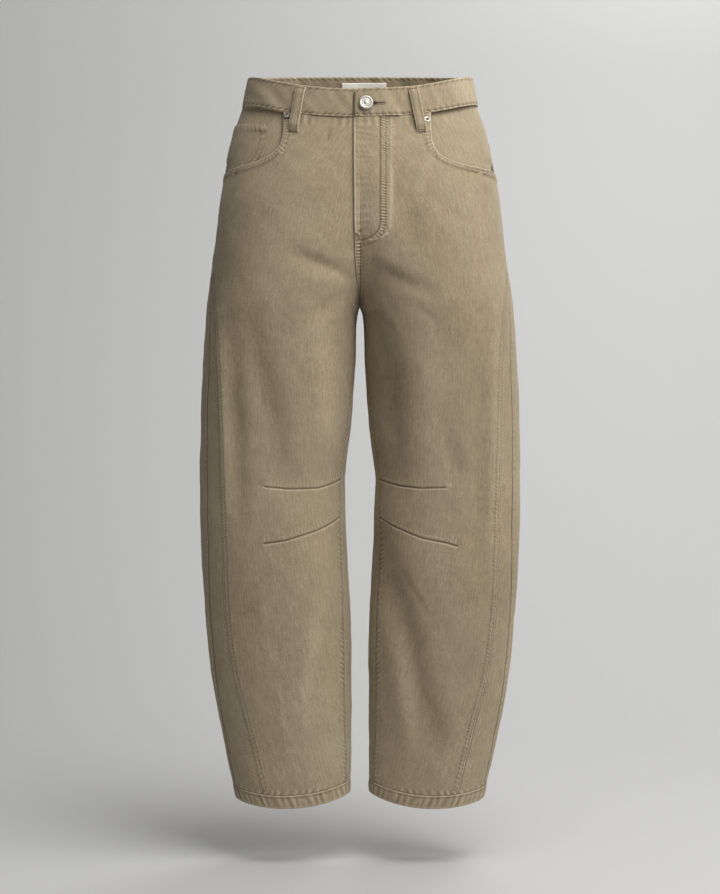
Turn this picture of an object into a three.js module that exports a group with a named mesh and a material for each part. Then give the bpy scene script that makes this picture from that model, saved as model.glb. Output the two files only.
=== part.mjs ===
// Barrel-leg jeans in heavy cotton twill, filled out as if worn, in millimetres.
// +Z is up, the front faces -Y, and +X is the wearer's left. The origin is the centre of the waist,
// at half the height of the waistband. Every piece of cloth is a thin closed wall on one shared form.
import * as THREE from "three";

// Driving dimensions
const HALF_BAND = 17.5;
const SEAM_GAP = 0.3;
const CLOTH = 1.6;
const BAND_OUT = 0.8;
const BAND_IN = 2.2;
const FRONT_DIP = 27;
const BACK_RISE = 18;
const LEVELLED_OUT = -170;
const HEM_SEAM = -895;
const HEM_EDGE = -911.5;
const HEM_TAPER_START = -800;
const HEM_SAG = 11.5;
const HEM_SLANT = 3.5;
const FLY = { edge: 7, under: 7, foot: -186, join: -192, fade: -216, lift: 2.4, flat: 14, fadeOut: 46 };
const BAND_OVERLAP = { edge: 7, under: 22, lift: 3.4, flat: 30, fadeOut: 62 };
const POCKET = { foot: -108, facing: 12, sweep: 1.48 };
const MOUTH = { left: { x: 90, drop: 0.42 }, right: { x: 97, drop: 0.5 } };
const SIDE_PANEL = { top: -246, topWidth: 3 };
const YOKE = { side: -64, centre: -98, flatAt: -150 };
const LOOP = { width: 12.6, thick: 1.8, stand: 3.3, below: 25.5 };
const FRONT_LOOPS = { left: [66, 77.5], right: [74, 84] };
const BUTTON = { x: 7.5, level: -2, radius: 9, shank: 5, height: 4.6 };
const RIVET = { left: [84.8, -27], right: [91.5, -23.8], radius: 4.1 };

// The outer form, a row for each level. A level is the height at the side seam.
// outer and inner are the side and the inside of the left leg in x. Above the crotch inner is
// negative, because the two legs run into each other there. front and back are depths in y, frontX
// and backX say where they lie, and the last four columns are the squareness of the corners.
const FORM = {
  columns: "level outer inner front back frontX backX squareFI squareFO squareBO squareBI".split(" "),
  rows: [
    [36, 143.5, -150, 77, 80, 0, 0, 2.2, 2.25, 2.2, 2.2],
    [19, 145.5, -150, 78, 82, 0, 0, 2.2, 2.25, 2.2, 2.2],
    [-19, 152.5, -150, 84, 93, 0, 0, 2.2, 2.3, 2.25, 2.2],
    [-47, 162.5, -150, 90, 104, 8, 10, 2.2, 2.35, 2.25, 2.2],
    [-86, 172, -150, 96, 117, 24, 28, 2.2, 2.4, 2.3, 2.3],
    [-125, 179.5, -130, 99, 125, 42, 46, 2.2, 2.45, 2.3, 2.4],
    [-164, 184.5, -95, 101, 128, 58, 62, 2.2, 2.5, 2.35, 2.5],
    [-203, 188.5, -50, 102, 126, 70, 74, 2.3, 2.5, 2.35, 2.5],
    [-230, 192, -26, 102, 122, 76, 80, 2.4, 2.5, 2.35, 2.5],
    [-250, 195, -12, 101.5, 118, 80, 84, 2.4, 2.5, 2.3, 2.5],
    [-265, 197, -4, 101, 114, 84, 87, 2.4, 2.5, 2.3, 2.5],
    [-278, 198.7, 0.15, 100.5, 111, 88, 90, 2.4, 2.5, 2.3, 2.4],
    [-290, 199.8, 4.2, 99.5, 108, 90, 92, 2.4, 2.5, 2.3, 2.4],
    [-353, 203.8, 6.5, 92, 101, 100, 100, 2.3, 2.45, 2.25, 2.3],
    [-431, 207.3, 11, 84, 94, 108, 108, 2.25, 2.4, 2.2, 2.2],
    [-509, 208.3, 19.5, 77, 88, 112, 112, 2.2, 2.35, 2.15, 2.2],
    [-587, 206.7, 17.5, 72, 83, 110, 110, 2.2, 2.3, 2.15, 2.15],
    [-665, 202, 13, 65, 78, 105, 105, 2.15, 2.25, 2.1, 2.1],
    [-743, 195.5, 11, 57, 73, 100, 100, 2.1, 2.2, 2.1, 2.1],
    [-821, 182, 11, 49, 67, 94, 94, 2.1, 2.15, 2.1, 2.1],
    [-895, 164.8, 11.7, 42, 61, 88, 88, 2.1, 2.1, 2.1, 2.1],
    [-915, 160.5, 12, 40, 59, 86, 86, 2.1, 2.1, 2.1, 2.1],
  ],
};

// Where the long seams run, measured round the leg. inseam is forward of the innermost point,
// outseam is forward of the outermost one, and panel is the width of the side panel in front of it.
const SEAMS = {
  columns: "level inseam outseam panel".split(" "),
  rows: [
    [36, 0, 0, 0],
    [-150, 0, 0, 0],
    [-200, 0, 8, 0],
    [-230, 0, 28, 2],
    [-262, 0, 46, 8],
    [-278, 0, 51, 11],
    [-300, 14, 55, 15],
    [-353, 26, 57, 20],
    [-431, 32, 55, 24],
    [-509, 31, 52, 25],
    [-587, 33, 46, 26],
    [-665, 34, 36, 28],
    [-743, 31, 30, 31],
    [-821, 25, 23, 40],
    [-895, 19, 18, 44],
    [-915, 18, 17, 44],
  ],
};

// Soft folds and ridges, seen from the front (face -1) or the back (face 1). leg is -1 for the
// wearer's right, 1 for the left and 0 for both, whose x is then mirrored. depth below 0 is a trough.
// The last two rows are the knee darts.
const FOLDS = {
  columns: "leg face x1 z1 x2 z2 width depth".split(" "),
  rows: [
    [-1, -1, 18, -240, 84, -218, 10, -2.8],
    [-1, -1, 14, -262, 92, -242, 13, 1.4],
    [-1, -1, 140, -296, 92, -500, 17, -4.4],
    [-1, -1, 160, -300, 150, -560, 11, -2.6],
    [-1, -1, 52, -320, 44, -470, 15, 2.8],
    [-1, -1, 48, -640, 78, -812, 15, 3.4],
    [-1, -1, 178, -290, 168, -540, 8, 3.2],
    [1, -1, 12, -238, 88, -266, 11, -3.2],
    [1, -1, 64, -160, 66, -204, 12, -2.6],
    [1, -1, 34, -312, 46, -506, 17, -4.8],
    [1, -1, 84, -330, 86, -500, 20, 2.6],
    [1, -1, 110, -448, 128, -506, 11, -2],
    [1, -1, 27, -580, 96, -836, 18, -6],
    [1, -1, 46, -700, 62, -850, 13, 3.4],
    [1, -1, 172, -290, 168, -640, 9, 3.2],
    [1, -1, 152, -320, 148, -600, 12, -2.2],
    [0, 1, 22, -250, 120, -300, 16, -4],
    [0, 1, 24, -284, 112, -338, 15, 3],
    [0, 1, 60, -350, 84, -520, 18, -3.6],
    [0, 1, 130, -480, 92, -640, 18, 3.4],
    [0, 1, 60, -600, 120, -800, 18, -3.8],
    [0, 1, 104, -700, 84, -860, 14, 2.6],
    [0, -1, 22, -501, 112, -511, 7, -1.2],
    [0, -1, 22, -548, 121, -583, 7, -1.2],
  ],
};

const named = (table) => {
  const record = (row) => Object.fromEntries(table.columns.map((column, i) => [column, row[i]]));
  return table.rows.map(record);
};
const clamp = (t) => Math.min(1, Math.max(0, t));
const smooth = (t) => clamp(t) * clamp(t) * (3 - 2 * clamp(t));
const mix = (a, b, t) => a + (b - a) * t;

// Reads a column of a table at a level, on a smooth curve that never overshoots its rows.
function reader(table) {
  const rows = named(table).sort((a, b) => a.level - b.level);
  const slopes = {};
  for (const column of table.columns.slice(1)) {
    const steps = rows.slice(1).map((r, i) => (r[column] - rows[i][column]) / (r.level - rows[i].level));
    slopes[column] = rows.map((_, i) => {
      const before = steps[i - 1] ?? steps[i];
      const after = steps[i] ?? before;
      return before * after <= 0 ? 0 : (2 * before * after) / (before + after);
    });
  }
  return (column, level) => {
    const z = Math.min(rows[rows.length - 1].level, Math.max(rows[0].level, level));
    let i = rows.findIndex((r) => r.level >= z) - 1;
    i = Math.max(0, i);
    const run = rows[i + 1].level - rows[i].level;
    const t = (z - rows[i].level) / run;
    const t2 = t * t;
    const t3 = t2 * t;
    return (
      (2 * t3 - 3 * t2 + 1) * rows[i][column] +
      (t3 - 2 * t2 + t) * run * slopes[column][i] +
      (3 * t2 - 2 * t3) * rows[i + 1][column] +
      (t3 - t2) * run * slopes[column][i + 1]
    );
  };
}
const form = reader(FORM);
const seam = reader(SEAMS);
const folds = named(FOLDS);

// One level's outline of the left leg as points in x and y, with the arc length at each. It starts at
// the innermost point and runs by the front, the outer side and the back, to the innermost point.
const CORNER_STEPS = 40;
const MID_DEPTH = 6;
const sections = new Map();
function section(level) {
  if (sections.has(level)) return sections.get(level);
  const f = Object.fromEntries(FORM.columns.slice(1).map((c) => [c, form(c, level)]));
  const points = [];
  const corner = (cx, cy, rx, ry, square, turn) => {
    for (let i = 0; i < CORNER_STEPS; i++) {
      const angle = (i / CORNER_STEPS) * (Math.PI / 2);
      const near = Math.pow(Math.cos(angle), 2 / square);
      const far = Math.pow(Math.sin(angle), 2 / square);
      points.push(turn ? [cx + rx * far, cy + ry * near] : [cx + rx * near, cy + ry * far]);
    }
  };
  const mid = MID_DEPTH;
  corner(f.frontX, mid, f.inner - f.frontX, -f.front - mid, f.squareFI, false);
  corner(f.frontX, mid, f.outer - f.frontX, -f.front - mid, f.squareFO, true);
  corner(f.backX, mid, f.outer - f.backX, f.back - mid, f.squareBO, false);
  corner(f.backX, mid, f.inner - f.backX, f.back - mid, f.squareBI, true);
  points.push(points[0]);
  const arc = [0];
  for (let i = 1; i < points.length; i++) {
    arc.push(arc[i - 1] + Math.hypot(points[i][0] - points[i - 1][0], points[i][1] - points[i - 1][1]));
  }
  const whole = arc[arc.length - 1];
  const side = arc[2 * CORNER_STEPS];
  const plane = SEAM_GAP / 2;
  let start = seam("inseam", level);
  let end = whole + start;
  const open = f.inner < plane;
  if (open) {
    const crossing = (i) => {
      const t = (plane - points[i][0]) / (points[i + 1][0] - points[i][0]);
      return mix(arc[i], arc[i + 1], t);
    };
    let i = 2 * CORNER_STEPS;
    while (points[i][0] > plane) i--;
    start = crossing(i);
    i = 2 * CORNER_STEPS;
    while (points[i + 1][0] > plane) i++;
    end = crossing(i);
  }
  const made = { points, arc, whole, side, start: start - side, end: end - side, open, ...f };
  sections.set(level, made);
  return made;
}

// The x and y of the left leg's outline at a distance g round it from the outermost point, which is
// below 0 forward of that point.
function outline(g, level) {
  const s = section(level);
  const at = (((g + s.side) % s.whole) + s.whole) % s.whole;
  let low = 0;
  let high = s.arc.length - 1;
  while (high - low > 1) {
    const half = (low + high) >> 1;
    if (s.arc[half] <= at) low = half;
    else high = half;
  }
  const t = (at - s.arc[low]) / Math.max(1e-9, s.arc[high] - s.arc[low]);
  return [mix(s.points[low][0], s.points[high][0], t), mix(s.points[low][1], s.points[high][1], t)];
}

// How far the cloth lies above its level: the waist dips in front and rises behind, and each hem sags.
function heave(x, y, level) {
  const s = section(level);
  const waist = smooth((level - LEVELLED_OUT) / (-HALF_BAND - LEVELLED_OUT));
  const depth = y < 0 ? -FRONT_DIP * Math.pow(Math.min(1, -y / s.front), 2.2) : BACK_RISE * (y / s.back);
  const hem = smooth((HEM_TAPER_START - level) / (HEM_TAPER_START - HEM_SEAM));
  const across = (2 * Math.abs(x) - s.outer - s.inner) / (s.outer - s.inner);
  return waist * depth + hem * (-HEM_SLANT * across - HEM_SAG * Math.max(0, 1 - across * across));
}

function formPoint(side, g, level) {
  const [x, y] = outline(g, level);
  return new THREE.Vector3(side * x, y, level + heave(x, y, level));
}

// The height of the soft folds at a point whose outward normal is known. They fade at the centre line.
const CENTRE_CALM = 16;
function relief(point, normal) {
  let height = 0;
  for (const fold of folds) {
    const leg = Math.sign(point.x) || 1;
    if (fold.leg !== 0 && fold.leg !== leg) continue;
    const facing = fold.face === 1 ? normal.y : -normal.y;
    const shown = smooth(facing / 0.45);
    if (shown === 0) continue;
    const x = Math.abs(point.x);
    const [dx, dz] = [fold.x2 - fold.x1, fold.z2 - fold.z1];
    const along = ((x - fold.x1) * dx + (point.z - fold.z1) * dz) / (dx * dx + dz * dz);
    const t = clamp(along);
    const away = Math.hypot(x - fold.x1 - t * dx, point.z - fold.z1 - t * dz);
    const fade = Math.sin(Math.PI * clamp(0.12 + 0.76 * t));
    height += shown * fade * fold.depth * Math.exp(-Math.pow(away / fold.width, 2));
  }
  return height * smooth(Math.abs(point.x) / CENTRE_CALM);
}

// A point of the cloth, lifted off the form along its normal. side is 1 for the wearer's left. Where
// the halves are joined, a point past the centre line is the other half's.
const PROBE = 1.5;
function skin(side, g, level, lift) {
  const s = section(level);
  if (s.open && g < s.start) return skin(-side, 2 * s.start - g, level, lift);
  if (s.open && g > s.end) return skin(-side, 2 * s.end - g, level, lift);
  const point = formPoint(side, g, level);
  const round = formPoint(side, g + PROBE, level).sub(formPoint(side, g - PROBE, level));
  const down = formPoint(side, g, level - PROBE).sub(formPoint(side, g, level + PROBE));
  const normal = down.cross(round).multiplyScalar(side).normalize();
  return point.addScaledVector(normal, lift + relief(point, normal));
}
function skinNormal(side, g, level) {
  return skin(side, g, level, 1).sub(skin(side, g, level, 0)).normalize();
}

// The distance round the leg at which the front (way -1) or the back (way 1) of a level has a given x.
function roundAt(x, level, way) {
  const s = section(level);
  let low = way < 0 ? s.start : s.end;
  let high = 0;
  for (let i = 0; i < 40; i++) {
    const half = (low + high) / 2;
    if (outline(half, level)[0] < x) low = half;
    else high = half;
  }
  return (low + high) / 2;
}
const frontAt = (x, level) => roundAt(x, level, -1);

// Materials
const twill = new THREE.MeshStandardMaterial({ color: 0xa0917a, roughness: 0.92, metalness: 0 });
const nickel = new THREE.MeshStandardMaterial({ color: 0xc9c4b8, roughness: 0.35, metalness: 1 });
const ribbon = new THREE.MeshStandardMaterial({ color: 0xe9e7dc, roughness: 0.8, metalness: 0 });

const jeans = new THREE.Group();
const grids = {};

// A closed solid from a list of points and the corners of its faces, turned to face outwards.
function solid(name, points, faces, material) {
  let volume = 0;
  for (const [a, b, c] of faces) volume += points[a].dot(points[b].clone().cross(points[c]));
  const turned = volume < 0 ? faces.map(([a, b, c]) => [a, c, b]) : faces;
  const geometry = new THREE.BufferGeometry();
  geometry.setAttribute("position", new THREE.Float32BufferAttribute(points.flatMap((p) => p.toArray()), 3));
  geometry.setIndex(turned.flat());
  geometry.computeVertexNormals();
  const mesh = new THREE.Mesh(geometry, material);
  mesh.name = name;
  jeans.add(mesh);
  return mesh;
}

// A wall of cloth: a grid of points on its outer face, the same grid on its inner face, and a rim.
// at(a, b, face) gives a point, with a from 0 to 1 across and b down, and face 0 outside and 1 inside.
function wall(name, across, down, at, { closed = false, material = twill } = {}) {
  const wide = closed ? across : across + 1;
  const points = [];
  for (const face of [0, 1]) {
    for (let j = 0; j <= down; j++) {
      for (let i = 0; i < wide; i++) points.push(at(i / across, j / down, face));
    }
  }
  const index = (i, j, face) => face * wide * (down + 1) + j * wide + (i % wide);
  const faces = [];
  const quad = (a, b, c, d) => faces.push([a, b, c], [a, c, d]);
  for (let j = 0; j < down; j++) {
    for (let i = 0; i < across; i++) {
      quad(index(i, j + 1, 0), index(i + 1, j + 1, 0), index(i + 1, j, 0), index(i, j, 0));
      quad(index(i + 1, j, 1), index(i + 1, j + 1, 1), index(i, j + 1, 1), index(i, j, 1));
    }
  }
  for (let i = 0; i < across; i++) {
    quad(index(i, 0, 0), index(i + 1, 0, 0), index(i + 1, 0, 1), index(i, 0, 1));
    quad(index(i + 1, down, 0), index(i, down, 0), index(i, down, 1), index(i + 1, down, 1));
  }
  for (let j = 0; j < down && !closed; j++) {
    quad(index(0, j + 1, 0), index(0, j, 0), index(0, j, 1), index(0, j + 1, 1));
    quad(index(across, j, 0), index(across, j + 1, 0), index(across, j + 1, 1), index(across, j, 1));
  }
  grids[name] = { wide, across, down, points };
  return solid(name, points, faces, material);
}

// A point on a wall's own facets, at a row and a column that need not be whole, lifted off them.
function onWall(name, column, row, lift) {
  const { wide, down, points } = grids[name];
  const i = Math.min(wide - 2, Math.floor(column));
  const j = Math.min(down - 1, Math.floor(row));
  const at = (face) => {
    const first = face * wide * (down + 1) + j * wide + i;
    const upper = points[first].clone().lerp(points[first + 1], column - i);
    const lower = points[first + wide].clone().lerp(points[first + wide + 1], column - i);
    return upper.lerp(lower, row - j);
  };
  const outer = at(0);
  return outer.clone().addScaledVector(outer.clone().sub(at(1)).normalize(), lift);
}

const HALF_GAP = SEAM_GAP / 2;
const bandSeam = -HALF_BAND - HALF_GAP;

// The mouth of the front pocket is most of a quarter of an ellipse, from the waistband to the side seam.
const mouthOf = (side) => (side > 0 ? MOUTH.left : MOUTH.right);
const mouthDrop = (side, turn) => Math.pow(Math.sin(turn) / Math.sin(POCKET.sweep), mouthOf(side).drop);
function pocketMouth(side, turn, grow) {
  const level = mix(bandSeam, POCKET.foot - grow, mouthDrop(side, turn));
  const share = (1 - Math.cos(turn)) / (1 - Math.cos(POCKET.sweep));
  return { level, g: mix(frontAt(mouthOf(side).x - grow, level), -HALF_GAP, share) };
}
function mouthLevel(side, g, level) {
  const share = clamp(1 - g / frontAt(mouthOf(side).x, level));
  const turn = Math.acos(1 - share * (1 - Math.cos(POCKET.sweep)));
  return mix(bandSeam, POCKET.foot, mouthDrop(side, turn));
}

const outseamAt = (level) => -seam("outseam", level);
const panelSeamAt = (level) => outseamAt(level) - Math.max(SIDE_PANEL.topWidth, seam("panel", level));

// Levels from one to another, evenly spaced, without the first.
function levels(from, to, count) {
  return Array.from({ length: count }, (_, i) => mix(from, to, (i + 1) / count));
}
const POCKET_STEPS = 11;
const FRONT_COLUMNS = 13;
const BACK_COLUMNS = 13;
// The columns next to the centre and the inseam stay within a set distance, and the rest run
// straight down.
const REACH = 54;
const INNER = {
  x: REACH,
  fly: [0, FLY.edge / (REACH + FLY.edge), 14 / REACH, 32 / REACH, 1],
  leg: [0, 0.22, 0.46, 0.72, 1],
};
const CROTCH_LEVELS = [-204, -220, -234, -244, -246, -256, -264, -270, -275, -279, -284, -292, -304];
const LEG_TOP = CROTCH_LEVELS[CROTCH_LEVELS.length - 1];
const LEG_STEPS = 18;
const hemTop = HEM_SEAM + HALF_GAP;
const legLevels = levels(LEG_TOP, hemTop, LEG_STEPS);

// Where one of a panel's columns lies between its inner edge, by the centre, and its outer one.
function panelColumn(column, columns, inner, outer, level, way) {
  const last = INNER.leg.length - 1;
  const anchor = roundAt(INNER.x, level, way);
  if (column >= last) return mix(anchor, outer, (column - last) / (columns - last));
  const share = mix(INNER.fly[column], INNER.leg[column], smooth((FLY.join - level) / 60));
  return mix(inner, anchor, share);
}

// The front panel, from the fly and inseam to the pocket mouth, the side seam and the side panel's seam.
function frontPanel(side, name) {
  const overlaps = side > 0;
  const rows = [];
  for (let i = 0; i <= POCKET_STEPS; i++) {
    const mouth = pocketMouth(side, (i / POCKET_STEPS) * POCKET.sweep, 0);
    rows.push({ level: mouth.level, outer: i < POCKET_STEPS ? mouth.g : outseamAt(mouth.level) - HALF_GAP });
  }
  const lower = [...levels(POCKET.foot, FLY.foot, 5), FLY.join, ...CROTCH_LEVELS, ...legLevels];
  for (const level of lower) {
    const edge = level <= SIDE_PANEL.top ? panelSeamAt(level) : outseamAt(level);
    rows.push({ level, outer: edge - HALF_GAP });
  }
  for (const row of rows) {
    const flap = overlaps ? -FLY.edge : -FLY.under;
    const s = section(row.level);
    const plain = s.open ? s.start : s.start + HALF_GAP;
    row.inner = row.level >= FLY.foot ? s.start + flap : plain;
  }
  wall(name, FRONT_COLUMNS, rows.length - 1, (a, b, face) => {
    const row = rows[Math.round(b * (rows.length - 1))];
    const g = panelColumn(Math.round(a * FRONT_COLUMNS), FRONT_COLUMNS, row.inner, row.outer, row.level, -1);
    const rise = overlaps ? flyRise(g, row.level) : 0;
    return skin(side, g, row.level, rise - face * CLOTH);
  });
}

// The wearer's left front lies over the right one along the fly, and comes down to it below.
function flyRise(g, level) {
  const fromCentre = g - section(level).start;
  const across = smooth((FLY.fadeOut - fromCentre) / (FLY.fadeOut - FLY.flat));
  const down = smooth((level - FLY.fade) / (FLY.join - FLY.fade));
  return FLY.lift * across * down;
}

// The side panel, a long wedge between the front panel and the side seam.
function sidePanel(side, name) {
  const rows = [SIDE_PANEL.top - SEAM_GAP, ...CROTCH_LEVELS.slice(5), ...legLevels];
  wall(name, 2, rows.length - 1, (a, b, face) => {
    const level = rows[Math.round(b * (rows.length - 1))];
    const g = mix(panelSeamAt(level) + HALF_GAP, outseamAt(level) - HALF_GAP, a);
    return skin(side, g, level, -face * CLOTH);
  });
}

// A back piece's column, counted from the side seam, at a level.
function backColumn(column, level) {
  const s = section(level);
  const inner = s.open ? s.end : s.end - HALF_GAP;
  return panelColumn(BACK_COLUMNS - column, BACK_COLUMNS, inner, outseamAt(level) + HALF_GAP, level, 1);
}

// The seam under the yoke falls from the side seam to the centre back.
function yokeSeam(column) {
  const level = (YOKE.side + YOKE.centre) / 2;
  const fromSide = 1 - outline(backColumn(column, level), level)[0] / form("outer", level);
  return mix(YOKE.side, YOKE.centre, Math.pow(clamp(fromSide), 1.1));
}
function yoke(side, name) {
  wall(name, BACK_COLUMNS, 3, (a, b, face) => {
    const column = Math.round(a * BACK_COLUMNS);
    const level = mix(bandSeam, yokeSeam(column) + HALF_GAP, b);
    return skin(side, backColumn(column, level), level, -face * CLOTH);
  });
}

// The back panel, from the yoke to the hem and from the side seam to the centre back and inseam.
function backPanel(side, name) {
  const rows = [YOKE.side, ...levels(YOKE.side, YOKE.flatAt, 4), -168, -186, ...CROTCH_LEVELS];
  rows.push(...legLevels);
  wall(name, BACK_COLUMNS, rows.length - 1, (a, b, face) => {
    const column = Math.round(a * BACK_COLUMNS);
    const base = rows[Math.round(b * (rows.length - 1))];
    const slope = clamp((base - YOKE.flatAt) / (YOKE.side - YOKE.flatAt));
    const gap = b === 0 ? HALF_GAP : 0;
    const level = base + slope * (yokeSeam(column) - YOKE.side) - gap;
    return skin(side, backColumn(column, level), level, -face * CLOTH);
  });
}

// The cloth that shows inside the pocket mouth. It lies deep under the front panel's edge, and comes
// up to the side seam, where it is sewn in.
const FACING = { deep: -4.2, shallow: -0.6, thick: 1.2, below: 0.4, columns: 8, rows: 9 };
function pocketFacing(side, name) {
  wall(name, FACING.columns, FACING.rows, (a, b, face) => {
    const edge = pocketMouth(side, b * POCKET.sweep, POCKET.facing);
    const level = edge.level - FACING.below * (1 - b);
    const g = mix(Math.min(edge.g, -6), -HALF_GAP, a);
    const clear = smooth((level - mouthLevel(side, g, level) - 8) / 12);
    const lift = mix(FACING.deep, FACING.shallow, clear * smooth((a - 0.5) / 0.5));
    return skin(side, g, level, lift - face * FACING.thick);
  });
}

// A piece that lies on another: its edges may fall between that wall's columns and rows, and the
// rest of its points are that wall's own, moved out.
function overlay(name, base, columns, rows, thick, seat = SEAM_GAP) {
  const column = (i, j) => (typeof columns[i] === "function" ? columns[i](j) : columns[i]);
  wall(name, columns.length - 1, rows.length - 1, (a, b, face) => {
    const i = Math.round(a * (columns.length - 1));
    const j = Math.round(b * (rows.length - 1));
    const row = typeof rows[j] === "function" ? rows[j](i) : rows[j];
    return onWall(base, column(i, j), row, seat + (1 - face) * thick);
  });
}

// The coin pocket, on the facing of the wearer's right pocket.
function coinPocket(name) {
  const top = (i) => 0.2 + 0.04 * i;
  const inner = (j) => 2.35 - 0.13 * j;
  overlay(name, "pocket_facing_right", [inner, 3, 4, 5, 6, 7, 7.6], [top, 1, 2, 3, 4, 5, 6, 7], 1.2, 0.5);
}

// A patch pocket on the back panel, with a pointed foot.
function backPocket(side, name) {
  const foot = (i) => 8.05 + 0.9 * (1 - Math.abs(i - 4) / 4);
  const [outer, inner] = [(j) => 3.3 + 0.05 * j, (j) => 10.9 - 0.05 * j];
  const rows = [1.6, 2, 3, 4, 5, 6, 7, 8, foot];
  overlay(name, "back_" + name.slice(12), [outer, 4, 5, 6, 7, 8, 9, 10, inner], rows, 1.4, 0.4);
}

// The turned-up hem, a ring of double cloth below the leg's panels, whose corners are theirs.
const HEM_LIFT = 0.5;
const HEM_THICK = 2.9;
function hem(side, name) {
  const level = hemTop;
  const s = section(level);
  const stations = [];
  const [front, back] = [panelSeamAt(level), outseamAt(level)];
  for (let i = 0; i < FRONT_COLUMNS; i++) {
    stations.push(panelColumn(i, FRONT_COLUMNS, s.start, front, level, -1));
  }
  stations.push(front, (front + back) / 2);
  for (let i = BACK_COLUMNS; i > 0; i--) {
    stations.push(panelColumn(i, BACK_COLUMNS, s.end, back, level, 1));
  }
  const shares = stations.map((g) => (g - s.start) / s.whole);
  wall(
    name,
    shares.length,
    2,
    (a, b, face) => {
      const at = mix(HEM_SEAM - HALF_GAP, HEM_EDGE, b);
      const share = shares[Math.round(a * shares.length)];
      const ring = section(at);
      return skin(side, ring.start + share * ring.whole, at, HEM_LIFT - face * HEM_THICK);
    },
    { closed: true },
  );
}

// The waistband runs from its free end over the fly, round the wearer's left, the back and the right,
// and passes under that end.
function bandPoint(share, level, lift) {
  const s = section(level);
  const half = s.end - s.start;
  const path = mix(-BAND_OVERLAP.edge, 2 * half + BAND_OVERLAP.under, share);
  const fade = (BAND_OVERLAP.fadeOut - path) / (BAND_OVERLAP.fadeOut - BAND_OVERLAP.flat);
  const rise = BAND_OVERLAP.lift * smooth(fade);
  if (path <= half) return skin(1, s.start + path, level, lift + rise);
  return skin(-1, s.start + 2 * half - path, level, lift);
}
function waistband() {
  wall("waistband", 84, 2, (a, b, face) => {
    const level = mix(HALF_BAND, -HALF_BAND + HALF_GAP, b);
    return bandPoint(a, level, BAND_OUT - face * (BAND_OUT + BAND_IN));
  });
}

// A belt loop: a strap that is sewn down at both ends and stands off the waistband between them.
function beltLoop(name, side, top, foot) {
  const END = 0.16;
  const footLevel = -HALF_BAND - LOOP.below;
  wall(name, 2, 9, (a, b, face) => {
    const level = mix(HALF_BAND - 1.5, footLevel, b);
    const g = mix(top(level), foot(level), b) + (a - 0.5) * LOOP.width;
    const seat = b < 0.5 ? BAND_OUT + SEAM_GAP : SEAM_GAP;
    const stands = smooth(b / END) * smooth((1 - b) / END);
    return skin(side, g, level, mix(seat, LOOP.stand, stands) + (1 - face) * LOOP.thick);
  });
}

// A round fitting, turned about its axis and set on the cloth with that axis along the normal.
function fitting(name, profile, side, g, level, lift, segments) {
  const points = profile.map(([r, h]) => new THREE.Vector2(r, h));
  const mesh = new THREE.Mesh(new THREE.LatheGeometry(points, segments), nickel);
  mesh.geometry.rotateX(Math.PI / 2);
  mesh.name = name;
  mesh.position.copy(skin(side, g, level, lift));
  mesh.quaternion.setFromUnitVectors(new THREE.Vector3(0, 0, 1), skinNormal(side, g, level));
  jeans.add(mesh);
}

// The shank button: a narrow foot and a dished cap with a raised ring and boss.
const BUTTON_PROFILE = [
  [0, 0],
  [BUTTON.shank, 0],
  [BUTTON.shank, 1.6],
  [BUTTON.radius - 0.6, 1.7],
  [BUTTON.radius, 2.6],
  [BUTTON.radius - 0.5, 3.9],
  [BUTTON.radius - 1.8, BUTTON.height],
  [BUTTON.radius - 2.9, 3.9],
  [4.2, 3.7],
  [3.4, 4.3],
  [1.6, 4.2],
  [0, 4.6],
];
const RIVET_PROFILE = [
  [0, 0],
  [RIVET.radius, 0],
  [RIVET.radius - 0.2, 0.7],
  [RIVET.radius - 1.3, 1.3],
  [1.6, 0.9],
  [0, 0.7],
];

function label() {
  const LABEL = { half: 30, aside: 5.5, top: 11, foot: -15, thick: 1 };
  wall(
    "label",
    6,
    2,
    (a, b, face) => {
      const level = mix(LABEL.top, LABEL.foot, b);
      const g = section(level).end - LABEL.aside + mix(-LABEL.half, LABEL.half, a);
      return skin(1, g, level, -BAND_IN - SEAM_GAP - face * LABEL.thick);
    },
    { material: ribbon },
  );
}

for (const [side, hand] of [[1, "left"], [-1, "right"]]) {
  frontPanel(side, "front_" + hand);
  sidePanel(side, "side_panel_" + hand);
  backPanel(side, "back_" + hand);
  yoke(side, "yoke_" + hand);
  pocketFacing(side, "pocket_facing_" + hand);
  backPocket(side, "back_pocket_" + hand);
  hem(side, "hem_" + hand);
  const [top, foot] = FRONT_LOOPS[hand];
  beltLoop("loop_front_" + hand, side, (z) => frontAt(top, z), (z) => frontAt(foot, z));
  const [x, level] = RIVET[hand];
  fitting("rivet_" + hand, RIVET_PROFILE, side, frontAt(x, level), level, SEAM_GAP + 0.2, 12);
  beltLoop("loop_side_" + hand, side, () => 26, () => 30);
}
coinPocket("coin_pocket");
waistband();
beltLoop("loop_back", 1, (z) => section(z).end, (z) => section(z).end);
label();

const buttonLift = BAND_OUT + BAND_OVERLAP.lift + SEAM_GAP;
fitting("button", BUTTON_PROFILE, 1, frontAt(BUTTON.x, BUTTON.level), BUTTON.level, buttonLift, 18);

export default jeans;
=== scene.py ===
"""Barrel-leg jeans in washed cotton twill, filled out as if worn.

The front faces -Y and +X is the wearer's left. Sizes are in millimetres until a mesh is made,
and in metres after that. Every piece of cloth lies on one form, which is read round the leg
from its outermost point (g, forward below 0) and down it by level, the height at the side seam.
"""
import math

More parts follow.
